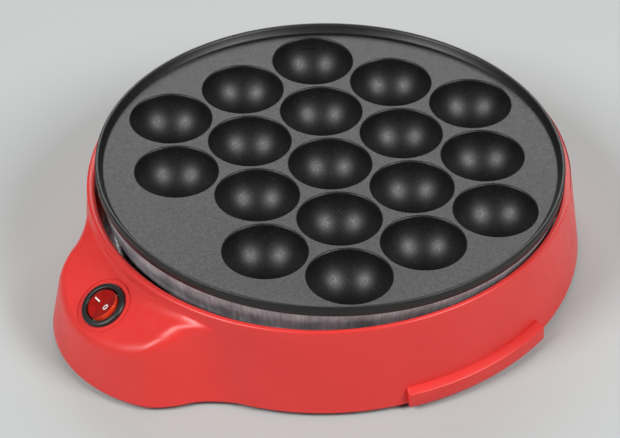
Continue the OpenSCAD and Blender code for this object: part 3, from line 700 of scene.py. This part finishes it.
@dataclass
class Base:
    """The red base: ring wall, lip, side strips and control box, as one moulded shell."""

    bottom_r: float = 121.3
    top_r: float = 117.0
    lip_z: float = 50.1
    foot_gap: float = 3.0  # the rubber feet hold the wall this far above the table
    wall: float = 2.7
    shelf_z: float = 24.0
    shelf_r: float = 107.5
    shelf_t: float = 2.5
    strip_top: float = 12.5
    strip_low: float = 3.3
    strip_r: float = 124.2
    strip_ledge: float = 1.6
    strip_start: float = -19.5
    strip_end: float = 17.5
    box_reach: float = 151.5
    front_r: float = 69.5
    box_draft: float = 10.0
    flank_y: float = 131.0
    flank_x: float = 47.5
    flank_angle: float = 20.0
    flank_draft: float = 11.5
    flank_fillet: float = 9.0
    corner_r: float = 5.0
    crease_r: float = 8.0
    cap_z: float = 44.5
    cap_r: float = 3.0
    neck_fillet: float = 4.0
    ring_x: float = -0.7  # the loose plate stands this far off the ring's middle in the photo
    ring_y: float = -1.0
    lip_dip: float = 5.6  # and its rim hangs over the lip at the back right
    dip_turn: float = 62.0
    hub_r: float = 108.0  # each column of the skin is searched for along rays from this ring
    hub_z: float = 20.0
    search_reach: float = 70.0
    search_rays: int = 260
    search_halvings: int = 26
    lowest_ray: float = -66.0
    box_starts_y: float = -90.0
    box_fades: float = 10.0
    fillet_fades: float = 8.0
    neck_z: float = 45.0
    rows: int = 60
    arc_sides: int = 720
    switch_r: float = 10.0
    groove_r: float = 14.0
    gland_z: float = 12.7
    gland_r: float = 6.3
    gland_flange_r: float = 8.6
    gland_seat_y: float = 119.3
    well_start: float = -124.0
    well_end: float = -56.0

    @property
    def height(self) -> float:
        """Height of the wall from its bottom edge to the lip."""
        return self.lip_z - self.foot_gap

    def ring_offset(self, turn: float) -> float:
        """How much further from the plate's axis the ring stands at an angle in radians."""
        return self.ring_x * math.cos(turn) + self.ring_y * math.sin(turn)

    def ring_r(self, z: np.ndarray) -> np.ndarray:
        """Outer radius of the ring wall at a height."""
        return self.bottom_r - (z - self.foot_gap) * (self.bottom_r - self.top_r) / self.height

    def box_walls(self, x: np.ndarray, y: np.ndarray, z: np.ndarray) -> tuple[np.ndarray, np.ndarray]:
        """How far a point lies outside the control box's front and flanks.

        Args:
            x, y, z: places in millimetres in the base's frame.

        Returns:
            The distance, and the cosine between the nearest wall's normal and the panel's.
        """
        rise = (z - self.foot_gap) / self.height
        front_c = self.box_reach - self.front_r
        from_c = np.hypot(x, y + front_c)
        front = from_c - (self.front_r - self.box_draft * rise)
        angle = math.radians(self.flank_angle)
        over = np.abs(x) - (self.flank_x - self.flank_draft * rise)
        flank = over * math.cos(angle) - (y + self.flank_y) * math.sin(angle)
        in_front = np.maximum(front + self.corner_r, 0)
        in_flank = np.maximum(flank + self.corner_r, 0)
        corner = np.hypot(in_front, in_flank)
        walls = np.minimum(np.maximum(front, flank), -self.corner_r) + corner
        front_turn = (y + front_c) / np.maximum(from_c, 1e-6)
        flank_turn = -math.sin(angle)
        blended = (in_front * front_turn + in_flank * flank_turn) / np.maximum(corner, 1e-6)
        turn = np.where(corner > 0, blended, np.where(front > flank, front_turn, flank_turn))
        slope = math.radians(SEAT.panel_slope)
        lean = self.box_draft / self.height
        cosine = math.cos(slope) * lean - math.sin(slope) * turn
        return walls, np.clip(cosine, 0.0, 0.9) / math.hypot(1.0, lean)

    def outside(self, x: np.ndarray, y: np.ndarray, z: np.ndarray) -> np.ndarray:
        """How far a point lies outside the base's skin.

        Args:
            x, y, z: places in millimetres in the base's frame.

        Returns:
            A distance that is negative inside the skin.
        """
        ring = np.hypot(x - self.ring_x, y - self.ring_y) - self.ring_r(z)
        walls, cosine = self.box_walls(x, y, z)
        plan = rounded_or(ring, walls, self.flank_fillet)
        slope = math.radians(SEAT.panel_slope)
        panel = (z - SEAT.panel_z) * math.cos(slope) - (y + SEAT.switch_y) * math.sin(slope)
        box = skewed_and(plan, panel, self.crease_r, cosine)
        box = rounded_and(box, z - self.cap_z, self.cap_r)
        ahead = np.clip((self.box_starts_y - y) / self.box_fades, 0, 1)
        stands_out = np.clip((ring - plan) / self.fillet_fades, 0, 1) * ahead
        return np.where(ahead > 0, rounded_or(ring, box, self.neck_fillet * stands_out), ring)

    def columns(self) -> np.ndarray:
        """Angles of the skin's columns: close together at the control box."""
        zones = [(-180, -128, 1.5), (-128, -52, 0.5), (-52, 180, 1.5)]
        angles = [np.arange(start, end, step) for start, end, step in zones]
        return np.concatenate(angles)

    def column(self, angle: float) -> np.ndarray:
        """Points of the skin from the neck down to the bottom edge at one angle.

        Args:
            angle: degrees round the axis.

        Returns:
            Radius and height of each row, evenly spaced along the skin.
        """
        turn = math.radians(angle)
        neck_r = float(self.ring_r(self.neck_z)) + self.ring_offset(turn)
        steepest = math.atan2(self.neck_z - self.hub_z, neck_r - self.hub_r)
        tilt = np.linspace(steepest, math.radians(self.lowest_ray), self.search_rays)
        near = np.zeros_like(tilt)
        far = np.full_like(tilt, self.search_reach)
        cos_a, sin_a = math.cos(turn), math.sin(turn)
        for _ in range(self.search_halvings):
            middle = (near + far) / 2
            r = self.hub_r + middle * np.cos(tilt)
            z = self.hub_z + middle * np.sin(tilt)
            is_out = self.outside(r * cos_a, r * sin_a, z) > 0
            far = np.where(is_out, middle, far)
            near = np.where(is_out, near, middle)
        r = self.hub_r + near * np.cos(tilt)
        z = self.hub_z + near * np.sin(tilt)
        last = int(np.argmax(z < self.foot_gap))
        share = (z[last - 1] - self.foot_gap) / (z[last - 1] - z[last])
        r = np.append(r[:last], r[last - 1] + share * (r[last] - r[last - 1]))
        z = np.append(z[:last], self.foot_gap)
        run = np.concatenate([[0], np.cumsum(np.hypot(np.diff(r), np.diff(z)))])
        even = np.linspace(0, run[-1], self.rows)
        return np.stack([np.interp(even, run, r), np.interp(even, run, z)], axis=1)

    def skin(self) -> bpy.types.Object:
        """Models the outer skin: a grid whose points are laid on the base's shape."""
        angles = self.columns()
        lip_rows = [self.lip_z, self.lip_z - 1.6, self.lip_z - 3.2]
        Bench.clear()
        rows = self.rows + len(lip_rows)
        bpy.ops.mesh.primitive_grid_add(x_subdivisions=len(angles), y_subdivisions=rows - 1, size=1)
        piece = bpy.context.object
        piece.name = "housing_shell"
        places = np.zeros((rows, len(angles) + 1, 3))
        for i, angle in enumerate(angles):
            turn = math.radians(angle)
            rings = np.array([(float(self.ring_r(z)) + self.ring_offset(turn), z) for z in lip_rows])
            line = np.concatenate([rings, self.column(angle)])
            places[:, i, 0] = line[:, 0] * math.cos(turn)
            places[:, i, 1] = line[:, 0] * math.sin(turn)
            places[:, i, 2] = line[:, 1]
        places[:, -1] = places[:, 0]
        piece.data.vertices.foreach_set("co", places.reshape(-1))
        piece.data.update()
        Bench.tidy(piece, 0.001)
        outward = sum(
            face.normal.x * face.center.x + face.normal.y * face.center.y for face in piece.data.polygons
        )
        if outward < 0:
            Bench.edit(piece)
            bpy.ops.mesh.flip_normals()
            Bench.close()
        return piece

    def drum(
        self, name: str, r_in: float, r_out: float, low: float, high: float, sides: int = 256
    ) -> bpy.types.Object:
        """Turns a plain ring of square section, used as a shelf or to cut.

        Args:
            name: the piece's name.
            r_in: its inner radius.
            r_out: its outer radius.
            low: height of its underside.
            high: height of its top.
            sides: sides round the axis.

        Returns:
            The ring.
        """
        profile = [(r_in, low), (r_out, low), (r_out, high), (r_in, high), (r_in, low)]
        return Bench.turn(name, profile, sides)

    def arc(self, name: str, profile: Profile, start: float, end: float) -> bpy.types.Object:
        """Turns a closed profile part of the way round the axis.

        Args:
            name: the piece's name.
            profile: radius and height of each point, the last one the first again.
            start, end: angles in degrees, each on a half degree.

        Returns:
            The arc with closed ends.
        """
        piece = Bench.turn(name, profile, self.arc_sides)
        middle, half = math.radians((start + end) / 2), math.radians((end - start) / 2)

        def is_beyond(face: bmesh.types.BMFace) -> bool:
            spot = face.calc_center_median()
            turn = math.atan2(spot.y, spot.x) - middle
            return abs(math.remainder(turn, 2 * math.pi)) > half

        Bench.edit(piece, is_beyond, "FACE")
        bpy.ops.mesh.delete(type="FACE")
        bpy.ops.mesh.select_all(action="SELECT")
        bpy.ops.mesh.fill_holes(sides=0)
        Bench.close()
        Bench.tidy(piece, 0.001)
        return piece

    def strips(self) -> bpy.types.Object:
        """Models the low strips at the sides: upright face, sloping ledge on top, crisp ends."""
        root = float(self.ring_r(self.strip_top)) - 1.5
        out, top, low = self.strip_r, self.strip_top, self.strip_low
        ledge = top - self.strip_ledge
        profile = [(root, low), (out, low), (out, ledge), (root + 1.5, top), (root, top), (root, low)]
        right = self.arc("strip_right", profile, self.strip_start, self.strip_end)
        left = self.arc("strip_left", profile, 180 - self.strip_end, 180 - self.strip_start)
        pair = Bench.join("housing_strips", [right, left])
        Bench.round_edges(pair, 0.35, 3, 20)
        return pair

    def well_wall(self) -> bpy.types.Object:
        """Models the ring wall between the plate's well and the control box."""
        low, top = self.shelf_z - self.shelf_t, self.cap_z - 0.6
        out_low, out_top = float(self.ring_r(low)) - 0.2, float(self.ring_r(top)) - 0.2
        inner = self.wall - 0.4
        profile = [
            (out_low - inner, low), (out_low, low), (out_top, top), (out_top - inner, top),
            (out_low - inner, low),
        ]
        return self.arc("housing_well_wall", profile, self.well_start, self.well_end)

    def openings(self) -> bpy.types.Object:
        """Models what is cut out of the shell: switch hole, groove round it and gland hole."""
        hole = Bench.turn("switch_hole", [(0, -8), (self.switch_r, -8), (self.switch_r, 4), (0, 4)], 96)
        groove = self.drum("groove", self.groove_r - 0.4, self.groove_r + 0.4, -0.35, 2, 96)
        slope = Matrix.Rotation(math.radians(SEAT.panel_slope), 4, "X")
        for cutter in (hole, groove):
            cutter.data.transform(SEAT.panel_on_base(slope))
        seat, inside, beyond = self.gland_seat_y, 100.0, 130.0
        stepped = [
            (0, inside), (self.gland_r, inside), (self.gland_r, seat),
            (self.gland_flange_r, seat), (self.gland_flange_r, beyond), (0, beyond),
        ]
        gland = Bench.turn("gland_hole", stepped, 64)
        turned = Matrix.Translation((0, 0, self.gland_z)) @ Matrix.Rotation(math.radians(-90), 4, "X")
        gland.data.transform(turned)
        return Bench.join("base_cutters", [hole, groove, gland])

    def build(self, dresser: Dresser) -> None:
        """Models, dresses and sets in the base's red mouldings."""
        shell = self.skin()
        Bench.modify(shell, "SOLIDIFY", thickness=self.wall, offset=-1.0, use_even_offset=True)
        self.round_lip(shell)
        self.settle_lip(shell)
        Bench.cut(shell, self.openings())
        Bench.smooth(shell, 28)
        dresser.dress(shell, Finish.RED_ABS)
        set_in(shell, SEAT.base, "base", ["housing"])
        shelf_edge = float(self.ring_r(self.shelf_z)) - self.wall / 2
        underside = self.shelf_z - self.shelf_t
        shelf = self.drum("housing_shelf", self.shelf_r, shelf_edge, underside, self.shelf_z)
        Bench.round_edges(shelf, 0.3)
        well_wall = self.well_wall()
        for piece in (shelf, well_wall):
            piece.data.transform(Matrix.Translation((self.ring_x, self.ring_y, 0)))
        for piece in (shelf, well_wall, self.strips()):
            Bench.smooth(piece)
            dresser.dress(piece, Finish.RED_ABS)
            set_in(piece, SEAT.base, "base", ["housing"])

    def settle_lip(self, shell: bpy.types.Object) -> None:
        """Thickens the lip towards the plate where it stands off, and lowers it where the rim hangs over."""
        for spot in shell.data.vertices:
            angle = math.atan2(spot.co.y, spot.co.x)
            reach = math.hypot(spot.co.x, spot.co.y)
            offset = self.ring_offset(angle)
            depth = (float(self.ring_r(spot.co.z)) + offset - reach) / self.wall
            above_shelf = (spot.co.z - self.shelf_z) / (self.neck_z - self.shelf_z)
            shift = max(0.0, offset) * min(1.0, max(0.0, depth)) * min(1.0, max(0.0, above_shelf))
            spot.co.x *= 1 - shift / reach
            spot.co.y *= 1 - shift / reach
            above_neck = (spot.co.z - self.neck_z) / (self.lip_z - self.neck_z)
            facing = max(0.0, math.cos(angle - math.radians(self.dip_turn)))
            spot.co.z -= self.lip_dip * facing ** 2 * max(0.0, above_neck)

    def round_lip(self, shell: bpy.types.Object) -> None:
        """Rounds the lip's two edges to a full round and breaks the bottom edges."""
        top = self.lip_z - 0.01
        bottom = self.foot_gap + 0.3

        def lip_edge(edge: bmesh.types.BMEdge) -> bool:
            on_top = all(v.co.z > top - 0.3 for v in edge.verts)
            folds = len(edge.link_faces) == 2 and edge.calc_face_angle(0) > 1.0
            return on_top and folds

        def bottom_edge(edge: bmesh.types.BMEdge) -> bool:
            at_bottom = all(v.co.z < bottom for v in edge.verts)
            folds = len(edge.link_faces) == 2 and edge.calc_face_angle(0) > 0.8
            return at_bottom and folds

        Bench.edit(shell, lip_edge, "EDGE")
        bpy.ops.mesh.bevel(offset=self.wall / 2 - 0.05, segments=5, affect="EDGES", clamp_overlap=True)
        Bench.close()
        Bench.edit(shell, bottom_edge, "EDGE")
        bpy.ops.mesh.bevel(offset=0.35, segments=2, affect="EDGES", clamp_overlap=True)
        Bench.close()


# ---------------------------------------------------------------- cooking plate


@dataclass
class CookingPlate:
    """The loose cast plate: land, cavities, raised rim and machined taper."""

    pitch: float = 43.0
    cavity_r: float = 20.05
    cavity_depth: float = 19.0
    edge_round: float = 0.9
    bowl_wall: float = 2.0
    land_t: float = 5.5
    land_r: float = 109.95
    rim_h: float = 4.1
    rim_slope_w: float = 2.0
    rim_bead_w: float = 1.5
    band_h: float = 1.0
    taper_h: float = 12.0
    taper_angle: float = 18.2
    skirt_wall: float = 4.0
    skirt_h: float = 16.0
    foot_r: float = 4.0
    post_y: float = 98.0
    post_angles: tuple[int, ...] = (0, 120, 240)
    bowl_sides: int = 72
    plate_sides: int = 288

    @property
    def bowl_r(self) -> float:
        """Radius of a cavity's sphere."""
        return (self.cavity_r ** 2 + self.cavity_depth ** 2) / (2 * self.cavity_depth)

    @property
    def rim_r(self) -> float:
        """Outer radius of the rim."""
        return self.land_r + self.rim_slope_w + self.rim_bead_w

    @property
    def taper_foot_r(self) -> float:
        """Outer radius below the machined taper."""
        return self.rim_r - self.taper_h * math.tan(math.radians(self.taper_angle))

    def cavity_places(self) -> list[Matrix]:
        """Places of the 18 cavities; the one next to the control box is left out for the sensor."""
        places = []
        row_step = self.pitch * math.sqrt(3) / 2
        for column in range(-2, 3):
            count = 5 - abs(column)
            for place in range(count):
                if column == 0 and place == 0:
                    continue
                y = (place - (count - 1) / 2) * self.pitch
                places.append(Matrix.Translation((column * row_step, y, 0)))
        return places

    def sphere_arc(self, radius: float, top_z: float, steps: int) -> list[tuple[float, float]]:
        """Points down a bowl's sphere from a height to its lowest point."""
        centre = self.bowl_r - self.cavity_depth
        start = math.asin(max(-1.0, min(1.0, (top_z - centre) / radius)))
        angles = [start + (-math.pi / 2 - start) * i / steps for i in range(steps + 1)]
        arc = [(radius * math.cos(a), centre + radius * math.sin(a)) for a in angles]
        arc[-1] = (0.0, arc[-1][1])
        return arc

    def cavity_profile(self) -> list[tuple[float, float]]:
        """Profile from the flat land over the rounded edge down to the cavity's lowest point."""
        fillet = self.edge_round
        centre = self.bowl_r - self.cavity_depth
        hub_z = -fillet
        hub_r = math.sqrt((self.bowl_r + fillet) ** 2 - (hub_z - centre) ** 2)
        end = math.atan2(centre - hub_z, -hub_r)
        start = math.pi / 2
        if end < start:
            end += 2 * math.pi
        steps = 5
        turn = [start + (end - start) * i / steps for i in range(steps + 1)]
        edge = [(hub_r + fillet * math.cos(a), hub_z + fillet * math.sin(a)) for a in turn]
        arc = self.sphere_arc(self.bowl_r, edge[-1][1], 22)
        return [(edge[0][0] + 0.25, 0.0)] + edge + arc[1:]

    def under_profile(self) -> list[tuple[float, float]]:
        """Profile of a bowl's outside, from the land's underside to its lowest point."""
        arc = self.sphere_arc(self.bowl_r + self.bowl_wall, -self.land_t, 16)
        return [(arc[0][0] + 0.2, -self.land_t)] + arc

    def rim_profile(self) -> list[tuple[float, float]]:
        """Profile from the land over the rim and down the outside to the underside."""
        slope_top = self.land_r + self.rim_slope_w
        bead = 0.5
        foot = self.taper_foot_r
        inner = foot - self.skirt_wall
        return [
            (self.land_r - 1.6, 0.0), (self.land_r - 0.7, 0.05), (self.land_r - 0.1, 0.28),
            (self.land_r + 0.4, 0.8), (slope_top - 0.45, self.rim_h - 0.9),
            (slope_top - 0.15, self.rim_h - 0.35), (slope_top + 0.2, self.rim_h - 0.05),
            (slope_top + 0.55, self.rim_h), (self.rim_r - bead, self.rim_h - 0.02),
            (self.rim_r - 0.18, self.rim_h - 0.17), (self.rim_r, self.rim_h - bead),
            (self.rim_r, -self.band_h + 0.1), (self.rim_r - 0.05, -self.band_h),
            (self.rim_r - 0.12, -self.band_h - 0.15),
            (foot + 0.1, -self.band_h - self.taper_h + 0.2), (foot, -self.band_h - self.taper_h),
            (foot, -self.skirt_h + 0.4), (foot - 0.4, -self.skirt_h),
            (inner + 0.4, -self.skirt_h), (inner, -self.skirt_h + 0.4),
            (inner, -self.land_t - 1.2), (inner - 1.2, -self.land_t),
        ]

    def holed_face(self, edge_r: float, z: float, sides: int, hole_r: float) -> bpy.types.Object:
        """A flat round face with a hole for each cavity.

        Args:
            edge_r: radius of its outer edge.
            z: its height.
            sides: sides of its outer edge.
            hole_r: radius of each hole.

        Returns:
            The filled face.
        """
        Bench.clear()
        bpy.ops.mesh.primitive_circle_add(vertices=sides, radius=edge_r, location=(0, 0, z))
        outer = bpy.context.object
        bpy.ops.object.transform_apply(location=True, rotation=True, scale=True)
        Bench.clear()
        bpy.ops.mesh.primitive_circle_add(vertices=self.bowl_sides, radius=hole_r, location=(0, 0, z))
        hole = bpy.context.object
        bpy.ops.object.transform_apply(location=True, rotation=True, scale=True)
        holes = Bench.copies(hole, self.cavity_places())
        face = Bench.join("land", [outer] + holes)
        Bench.edit(face)
        bpy.ops.mesh.fill(use_beauty=True)
        Bench.close()
        return face

    def build(self, dresser: Dresser) -> None:
        """Models, dresses and sets in the plate."""
        rim_profile = self.rim_profile()
        rim = Bench.turn("rim", rim_profile, self.plate_sides)
        top_profile = self.cavity_profile()
        bowls = Bench.copies(Bench.turn("bowl", top_profile, self.bowl_sides), self.cavity_places())
        under_profile = self.under_profile()
        unders = Bench.copies(Bench.turn("under", under_profile, self.bowl_sides), self.cavity_places())
        top = self.holed_face(rim_profile[0][0], 0.0, self.plate_sides, top_profile[0][0])
        bottom = self.holed_face(rim_profile[-1][0], -self.land_t, self.plate_sides, under_profile[0][0])
        plate = Bench.join("plate_casting", [rim, top, bottom] + bowls + unders)
        Bench.tidy(plate, 0.004)
        self.map_taper(plate)
        Bench.smooth(plate, 50)
        dresser.dress(plate, Finish.COATING, Finish.BARE_RIM)
        self.mark_taper(plate)
        set_in(plate, SEAT.plate, "plate", ["cooking_plate"])
        foot = Bench.turn(
            "plate_foot",
            [(0, -self.skirt_h), (self.foot_r - 0.4, -self.skirt_h), (self.foot_r, -self.skirt_h + 0.4),
             (self.foot_r, -self.land_t - 0.1), (0, -self.land_t - 0.1)],
            48,
        )
        spots = [
            Matrix.Rotation(math.radians(a), 4, "Z") @ Matrix.Translation((self.post_y, 0, 0))
            for a in self.post_angles
        ]
        feet = Bench.join("plate_feet", Bench.copies(foot, spots))
        Bench.smooth(feet)
        dresser.dress(feet, Finish.COATING)
        set_in(feet, SEAT.plate, "plate", ["cooking_plate"])

    def map_taper(self, plate: bpy.types.Object) -> None:
        """Gives the casting a UV map with u round the axis and v up it."""
        mesh = plate.data
        layer = mesh.uv_layers.new(name="UVMap") if not mesh.uv_layers else mesh.uv_layers[0]
        layer.name = "UVMap"
        for face in mesh.polygons:
            middle = math.atan2(face.center.y, face.center.x)
            for loop in face.loop_indices:
                spot = mesh.vertices[mesh.loops[loop].vertex_index].co
                turn = math.atan2(spot.y, spot.x)
                if turn - middle > math.pi:
                    turn -= 2 * math.pi
                if middle - turn > math.pi:
                    turn += 2 * math.pi
                layer.data[loop].uv = (turn / (2 * math.pi) + 0.5, (spot.z + self.skirt_h) / 20.0)

    def mark_taper(self, plate: bpy.types.Object) -> None:
        """Gives the machined outside below the coated band the second finish."""
        for face in plate.data.polygons:
            reach = math.hypot(face.center.x, face.center.y)
            is_outside = reach > self.taper_foot_r - 0.3
            face.material_index = int(is_outside and face.center.z < -self.band_h)


# ---------------------------------------------------------------- switch


@dataclass
class RockerSwitch:
    """The round rocker switch: black bezel and case, tinted rocker, printed marks."""

    bezel_r: float = 11.5
    bezel_h: float = 2.0
    body_r: float = 9.9
    depth: float = 14.0
    opening_r: float = 8.75
    rocker_r: float = 8.0

    def build(self, dresser: Dresser) -> None:
        """Models, dresses and sets in the bezel and the rocker."""
        self.build_bezel(dresser)
        self.build_rocker(dresser)

    def build_bezel(self, dresser: Dresser) -> None:
        """Turns the bezel and the case as one moulding with rounded edges."""
        top = self.bezel_h
        outer = self.bezel_r
        well = self.opening_r
        profile = [
            (0, -self.depth), (self.body_r, -self.depth), (self.body_r, 0.0), (outer - 0.1, 0.0),
            (outer, 0.15), (outer, top * 0.35), (outer - 0.12, top * 0.6), (outer - 0.45, top * 0.85),
            (outer - 1.0, top), (well + 0.5, top), (well + 0.15, top - 0.12), (well, top - 0.45),
            (well, -self.depth + 2), (0, -self.depth + 2),
        ]
        bezel = Bench.turn("switch_bezel", profile, 96)
        Bench.smooth(bezel)
        dresser.dress(bezel, Finish.SWITCH_NYLON)
        set_in(bezel, SEAT.panel, "base", ["switch_body"])

    def build_rocker(self, dresser: Dresser) -> None:
        """Turns the rocker's disc, then dips its face to a shallow V along the middle."""
        mid = SEAT.pivot_depth + 0.9
        throw = math.tan(math.radians(SEAT.rocker_throw / 2))
        rings = [self.rocker_r * share for share in (0.12, 0.3, 0.5, 0.7, 0.85, 0.95)]
        profile = [(0, -2), (self.rocker_r - 0.2, -2), (self.rocker_r, -1.8), (self.rocker_r, mid)]
        profile += [(self.rocker_r - 0.08, mid + 0.001), (self.rocker_r - 0.3, mid + 0.002)]
        profile += [(r, mid + 0.003) for r in reversed(rings)]
        profile += [(0, mid + 0.003)]
        rocker = Bench.turn("rocker_cap", profile, 96)
        for spot in rocker.data.vertices:
            if spot.co.z > mid - 0.1:
                lift = abs(spot.co.x) * throw
                soft = math.sqrt(lift * lift + 0.02)
                edge = math.hypot(spot.co.x, spot.co.y)
                drop = 0.35 if edge > self.rocker_r - 0.05 else (0.1 if edge > self.rocker_r - 0.15 else 0)
                spot.co.z = mid + soft - 0.14 - drop
        Bench.smooth(rocker, 35)
        dresser.dress(rocker, Finish.ROCKER, Finish.ROCKER_EDGE)
        # the side faces take the painted-glow orange-red; the top and the underside take the rocker's own
        # deep red
        for face in rocker.data.polygons:
            face.material_index = int(abs(face.normal.z) < 0.5)
        set_in(rocker, SEAT.rocker, "rocker", ["switch_rocker"])


# ---------------------------------------------------------------- fittings kept from the CAD


@dataclass(frozen=True)
class Fitting:
    """A CAD node whose shape is right: its copy is merged, its edges rounded and its faces shaded."""

    node: str
    finish: Finish
    slot: str
    body: str = "base"
    edge: float = 0.25

    def build(self, dresser: Dresser) -> None:
        """Copies, rounds, dresses and sets in the fitting."""
        mesh = frame["nodes"][self.node].data.copy()
        piece = bpy.data.objects.new(self.node + "_piece", mesh)
        bpy.context.scene.collection.objects.link(piece)
        mesh.transform(Matrix.Scale(1 / MM, 4))
        Bench.edit(piece)
        bpy.ops.mesh.remove_doubles(threshold=0.0005)
        bpy.ops.mesh.dissolve_limited(angle_limit=math.radians(0.5))
        Bench.close()
        if self.edge:
            Bench.round_edges(piece, self.edge, 2)
        Bench.smooth(piece)
        dresser.dress(piece, self.finish)
        set_in(piece, Matrix.Identity(4), self.body, [self.node])


FITTINGS = (
    Fitting("bottom_cover", Finish.BLACK_ABS, "black_plastic"),
    Fitting("rubber_feet", Finish.RUBBER, "foot_rubber", edge=0.6),
    Fitting("cover_screws", Finish.ZINC_STEEL, "screw_steel"),
    Fitting("reflector_pan", Finish.PAN_ALUMINIUM, "pan_aluminium", edge=0.3),
    Fitting("pan_screws", Finish.ZINC_STEEL, "screw_steel"),
    Fitting("plate_posts", Finish.CERAMIC, "post_ceramic"),
    Fitting("post_screws", Finish.ZINC_STEEL, "screw_steel"),
    Fitting("heater_element", Finish.SHEATH, "heater_steel", edge=0),
    Fitting("heater_end_seals", Finish.CERAMIC, "seal_ceramic"),
    Fitting("heater_terminals", Finish.BRASS, "terminal_brass", edge=0.1),
    Fitting("heater_clips", Finish.SHEET_STEEL, "sheet_steel", edge=0.15),
    Fitting("sensor_guide", Finish.CERAMIC, "seal_ceramic"),
    Fitting("sensor_plunger", Finish.SHEET_STEEL, "sensor_steel", "sensor"),
    Fitting("sensor_spring", Finish.SHEET_STEEL, "spring_steel", edge=0),
    Fitting("thermostat_body", Finish.BLACK_ABS, "black_plastic"),
    Fitting("thermostat_terminals", Finish.BRASS, "terminal_brass", edge=0.1),
    Fitting("thermal_fuse", Finish.CERAMIC, "seal_ceramic", edge=0.1),
    Fitting("fuse_clip", Finish.SHEET_STEEL, "sheet_steel", edge=0.1),
    Fitting("rocker_marks", Finish.PRINT, "mark_white", "rocker", edge=0.03),
    Fitting("pivot_pin", Finish.SHEET_STEEL, "sheet_steel", edge=0.1),
    Fitting("switch_terminals", Finish.BRASS, "terminal_brass", edge=0.1),
    Fitting("neon_lamp", Finish.LAMP, "lamp_glass", edge=0.2),
    Fitting("terminal_block", Finish.CERAMIC, "seal_ceramic"),
    Fitting("terminal_screws", Finish.BRASS, "terminal_brass", edge=0.15),
    Fitting("earth_tab", Finish.BRASS, "terminal_brass", edge=0.1),
    Fitting("earth_screw", Finish.ZINC_STEEL, "screw_steel"),
    Fitting("cord_gland", Finish.RUBBER, "gland_rubber", edge=0.4),
    Fitting("cord_clamp", Finish.BLACK_ABS, "black_plastic"),
    Fitting("clamp_screws", Finish.ZINC_STEEL, "screw_steel"),
    Fitting("lead_live", Finish.BROWN_LEAD, "lead_brown", edge=0),
    Fitting("lead_neutral", Finish.BLUE_LEAD, "lead_blue", edge=0),
    Fitting("lead_switched", Finish.BLACK_LEAD, "lead_black", edge=0),
    Fitting("lead_fused", Finish.BLACK_LEAD, "lead_black", edge=0),
    Fitting("lead_heater", Finish.BLACK_LEAD, "lead_black", edge=0),
    Fitting("lead_earth", Finish.GREEN_LEAD, "lead_green", edge=0),
)


# ---------------------------------------------------------------- studio


@dataclass
class Studio:
    """Camera, floor and lamps."""

    camera_mm: tuple[float, float, float] = (924.48, -614.11, 971.94)
    forward: tuple[float, float, float] = (-0.63348, 0.42164, -0.64879)
    up: tuple[float, float, float] = (-0.50946, 0.40381, 0.75986)
    lens_mm: float = 173.7
    sensor_mm: float = 36.0
    floor_colour: str = "#B2B6B5"
    floor_size: float = 12.0
    world_colour: str = "#FFFFFF"
    world_strength: float = 0.09

    def build(self) -> None:
        """Sets up the whole studio."""
        self.place_camera()
        self.lay_floor()
        self.light_world()
        self.hang_lamps()
        bpy.context.scene.view_settings.view_transform = "Standard"

    def place_camera(self) -> None:
        """Puts the camera at the photograph's angle."""
        data = bpy.data.cameras.new("camera")
        camera = bpy.data.objects.new("camera", data)
        bpy.context.scene.collection.objects.link(camera)
        ahead = Vector(self.forward).normalized()
        right = ahead.cross(Vector(self.up)).normalized()
        over = right.cross(ahead)
        turn = Matrix((right, over, -ahead)).transposed()
        camera.matrix_world = Matrix.Translation(Vector(self.camera_mm) * MM) @ turn.to_4x4()
        data.lens = self.lens_mm
        data.sensor_width = self.sensor_mm
        data.clip_start, data.clip_end = 0.05, 60
        bpy.context.scene.camera = camera

    def lay_floor(self) -> None:
        """Lays a plain pale floor."""
        Bench.clear()
        bpy.ops.mesh.primitive_plane_add(size=self.floor_size, location=(0, 0, 0))
        floor = bpy.context.object
        floor.name = "studio_floor"
        material, tree, surface = new_surface("floor_paper", Roughness=0.6, IOR=1.3)
        cloud = grain(tree, 400.0).outputs["Fac"]
        tree.links.new(tint(tree, cloud, self.floor_colour, self.floor_colour), surface.inputs["Base Color"])
        floor.data.materials.append(material)

    def light_world(self) -> None:
        """Lights the scene from all round with a plain level."""
        world = bpy.data.worlds.new("studio")
        world.use_nodes = True
        background = world.node_tree.nodes["Background"]
        background.inputs["Color"].default_value = from_hex(self.world_colour)
        background.inputs["Strength"].default_value = self.world_strength
        bpy.context.scene.world = world

    def hang_lamps(self) -> None:
        """Hangs the soft boxes: one each side of the camera, and a low wide one beyond the cooker."""
        self.soft_box("right_box", (1.40, 0.59, 1.30), 0.8, 0.8, 31)
        self.soft_box("left_box", (-0.03, -1.42, 1.40), 0.8, 0.8, 30)
        self.soft_box("back_box", (-1.27, 1.00, 1.12), 1.9, 0.7, 20)

    def soft_box(
        self, name: str, at: tuple[float, float, float], wide: float, high: float, watts: float
    ) -> None:
        """Hangs one rectangular lamp that points at the cooker.

        Args:
            name: the lamp's name.
            at: its place in metres.
            wide: its width in metres.
            high: its height in metres.
            watts: its power.
        """
        data = bpy.data.lights.new(name, "AREA")
        data.shape = "RECTANGLE"
        data.size, data.size_y = wide, high
        data.energy = watts
        lamp = bpy.data.objects.new(name, data)
        bpy.context.scene.collection.objects.link(lamp)
        lamp.location = at
        lamp.rotation_mode = "QUATERNION"
        lamp.rotation_quaternion = (Vector((0, 0, 0.03)) - Vector(at)).to_track_quat("-Z", "Y")


# ---------------------------------------------------------------- main


def main() -> None:
    """Builds the studio and every sub-assembly in order."""
    dresser = Dresser()
    Studio().build()
    Base().build(dresser)
    CookingPlate().build(dresser)
    RockerSwitch().build(dresser)
    for fitting in FITTINGS:
        fitting.build(dresser)


if __name__ == "__main__":
    main()
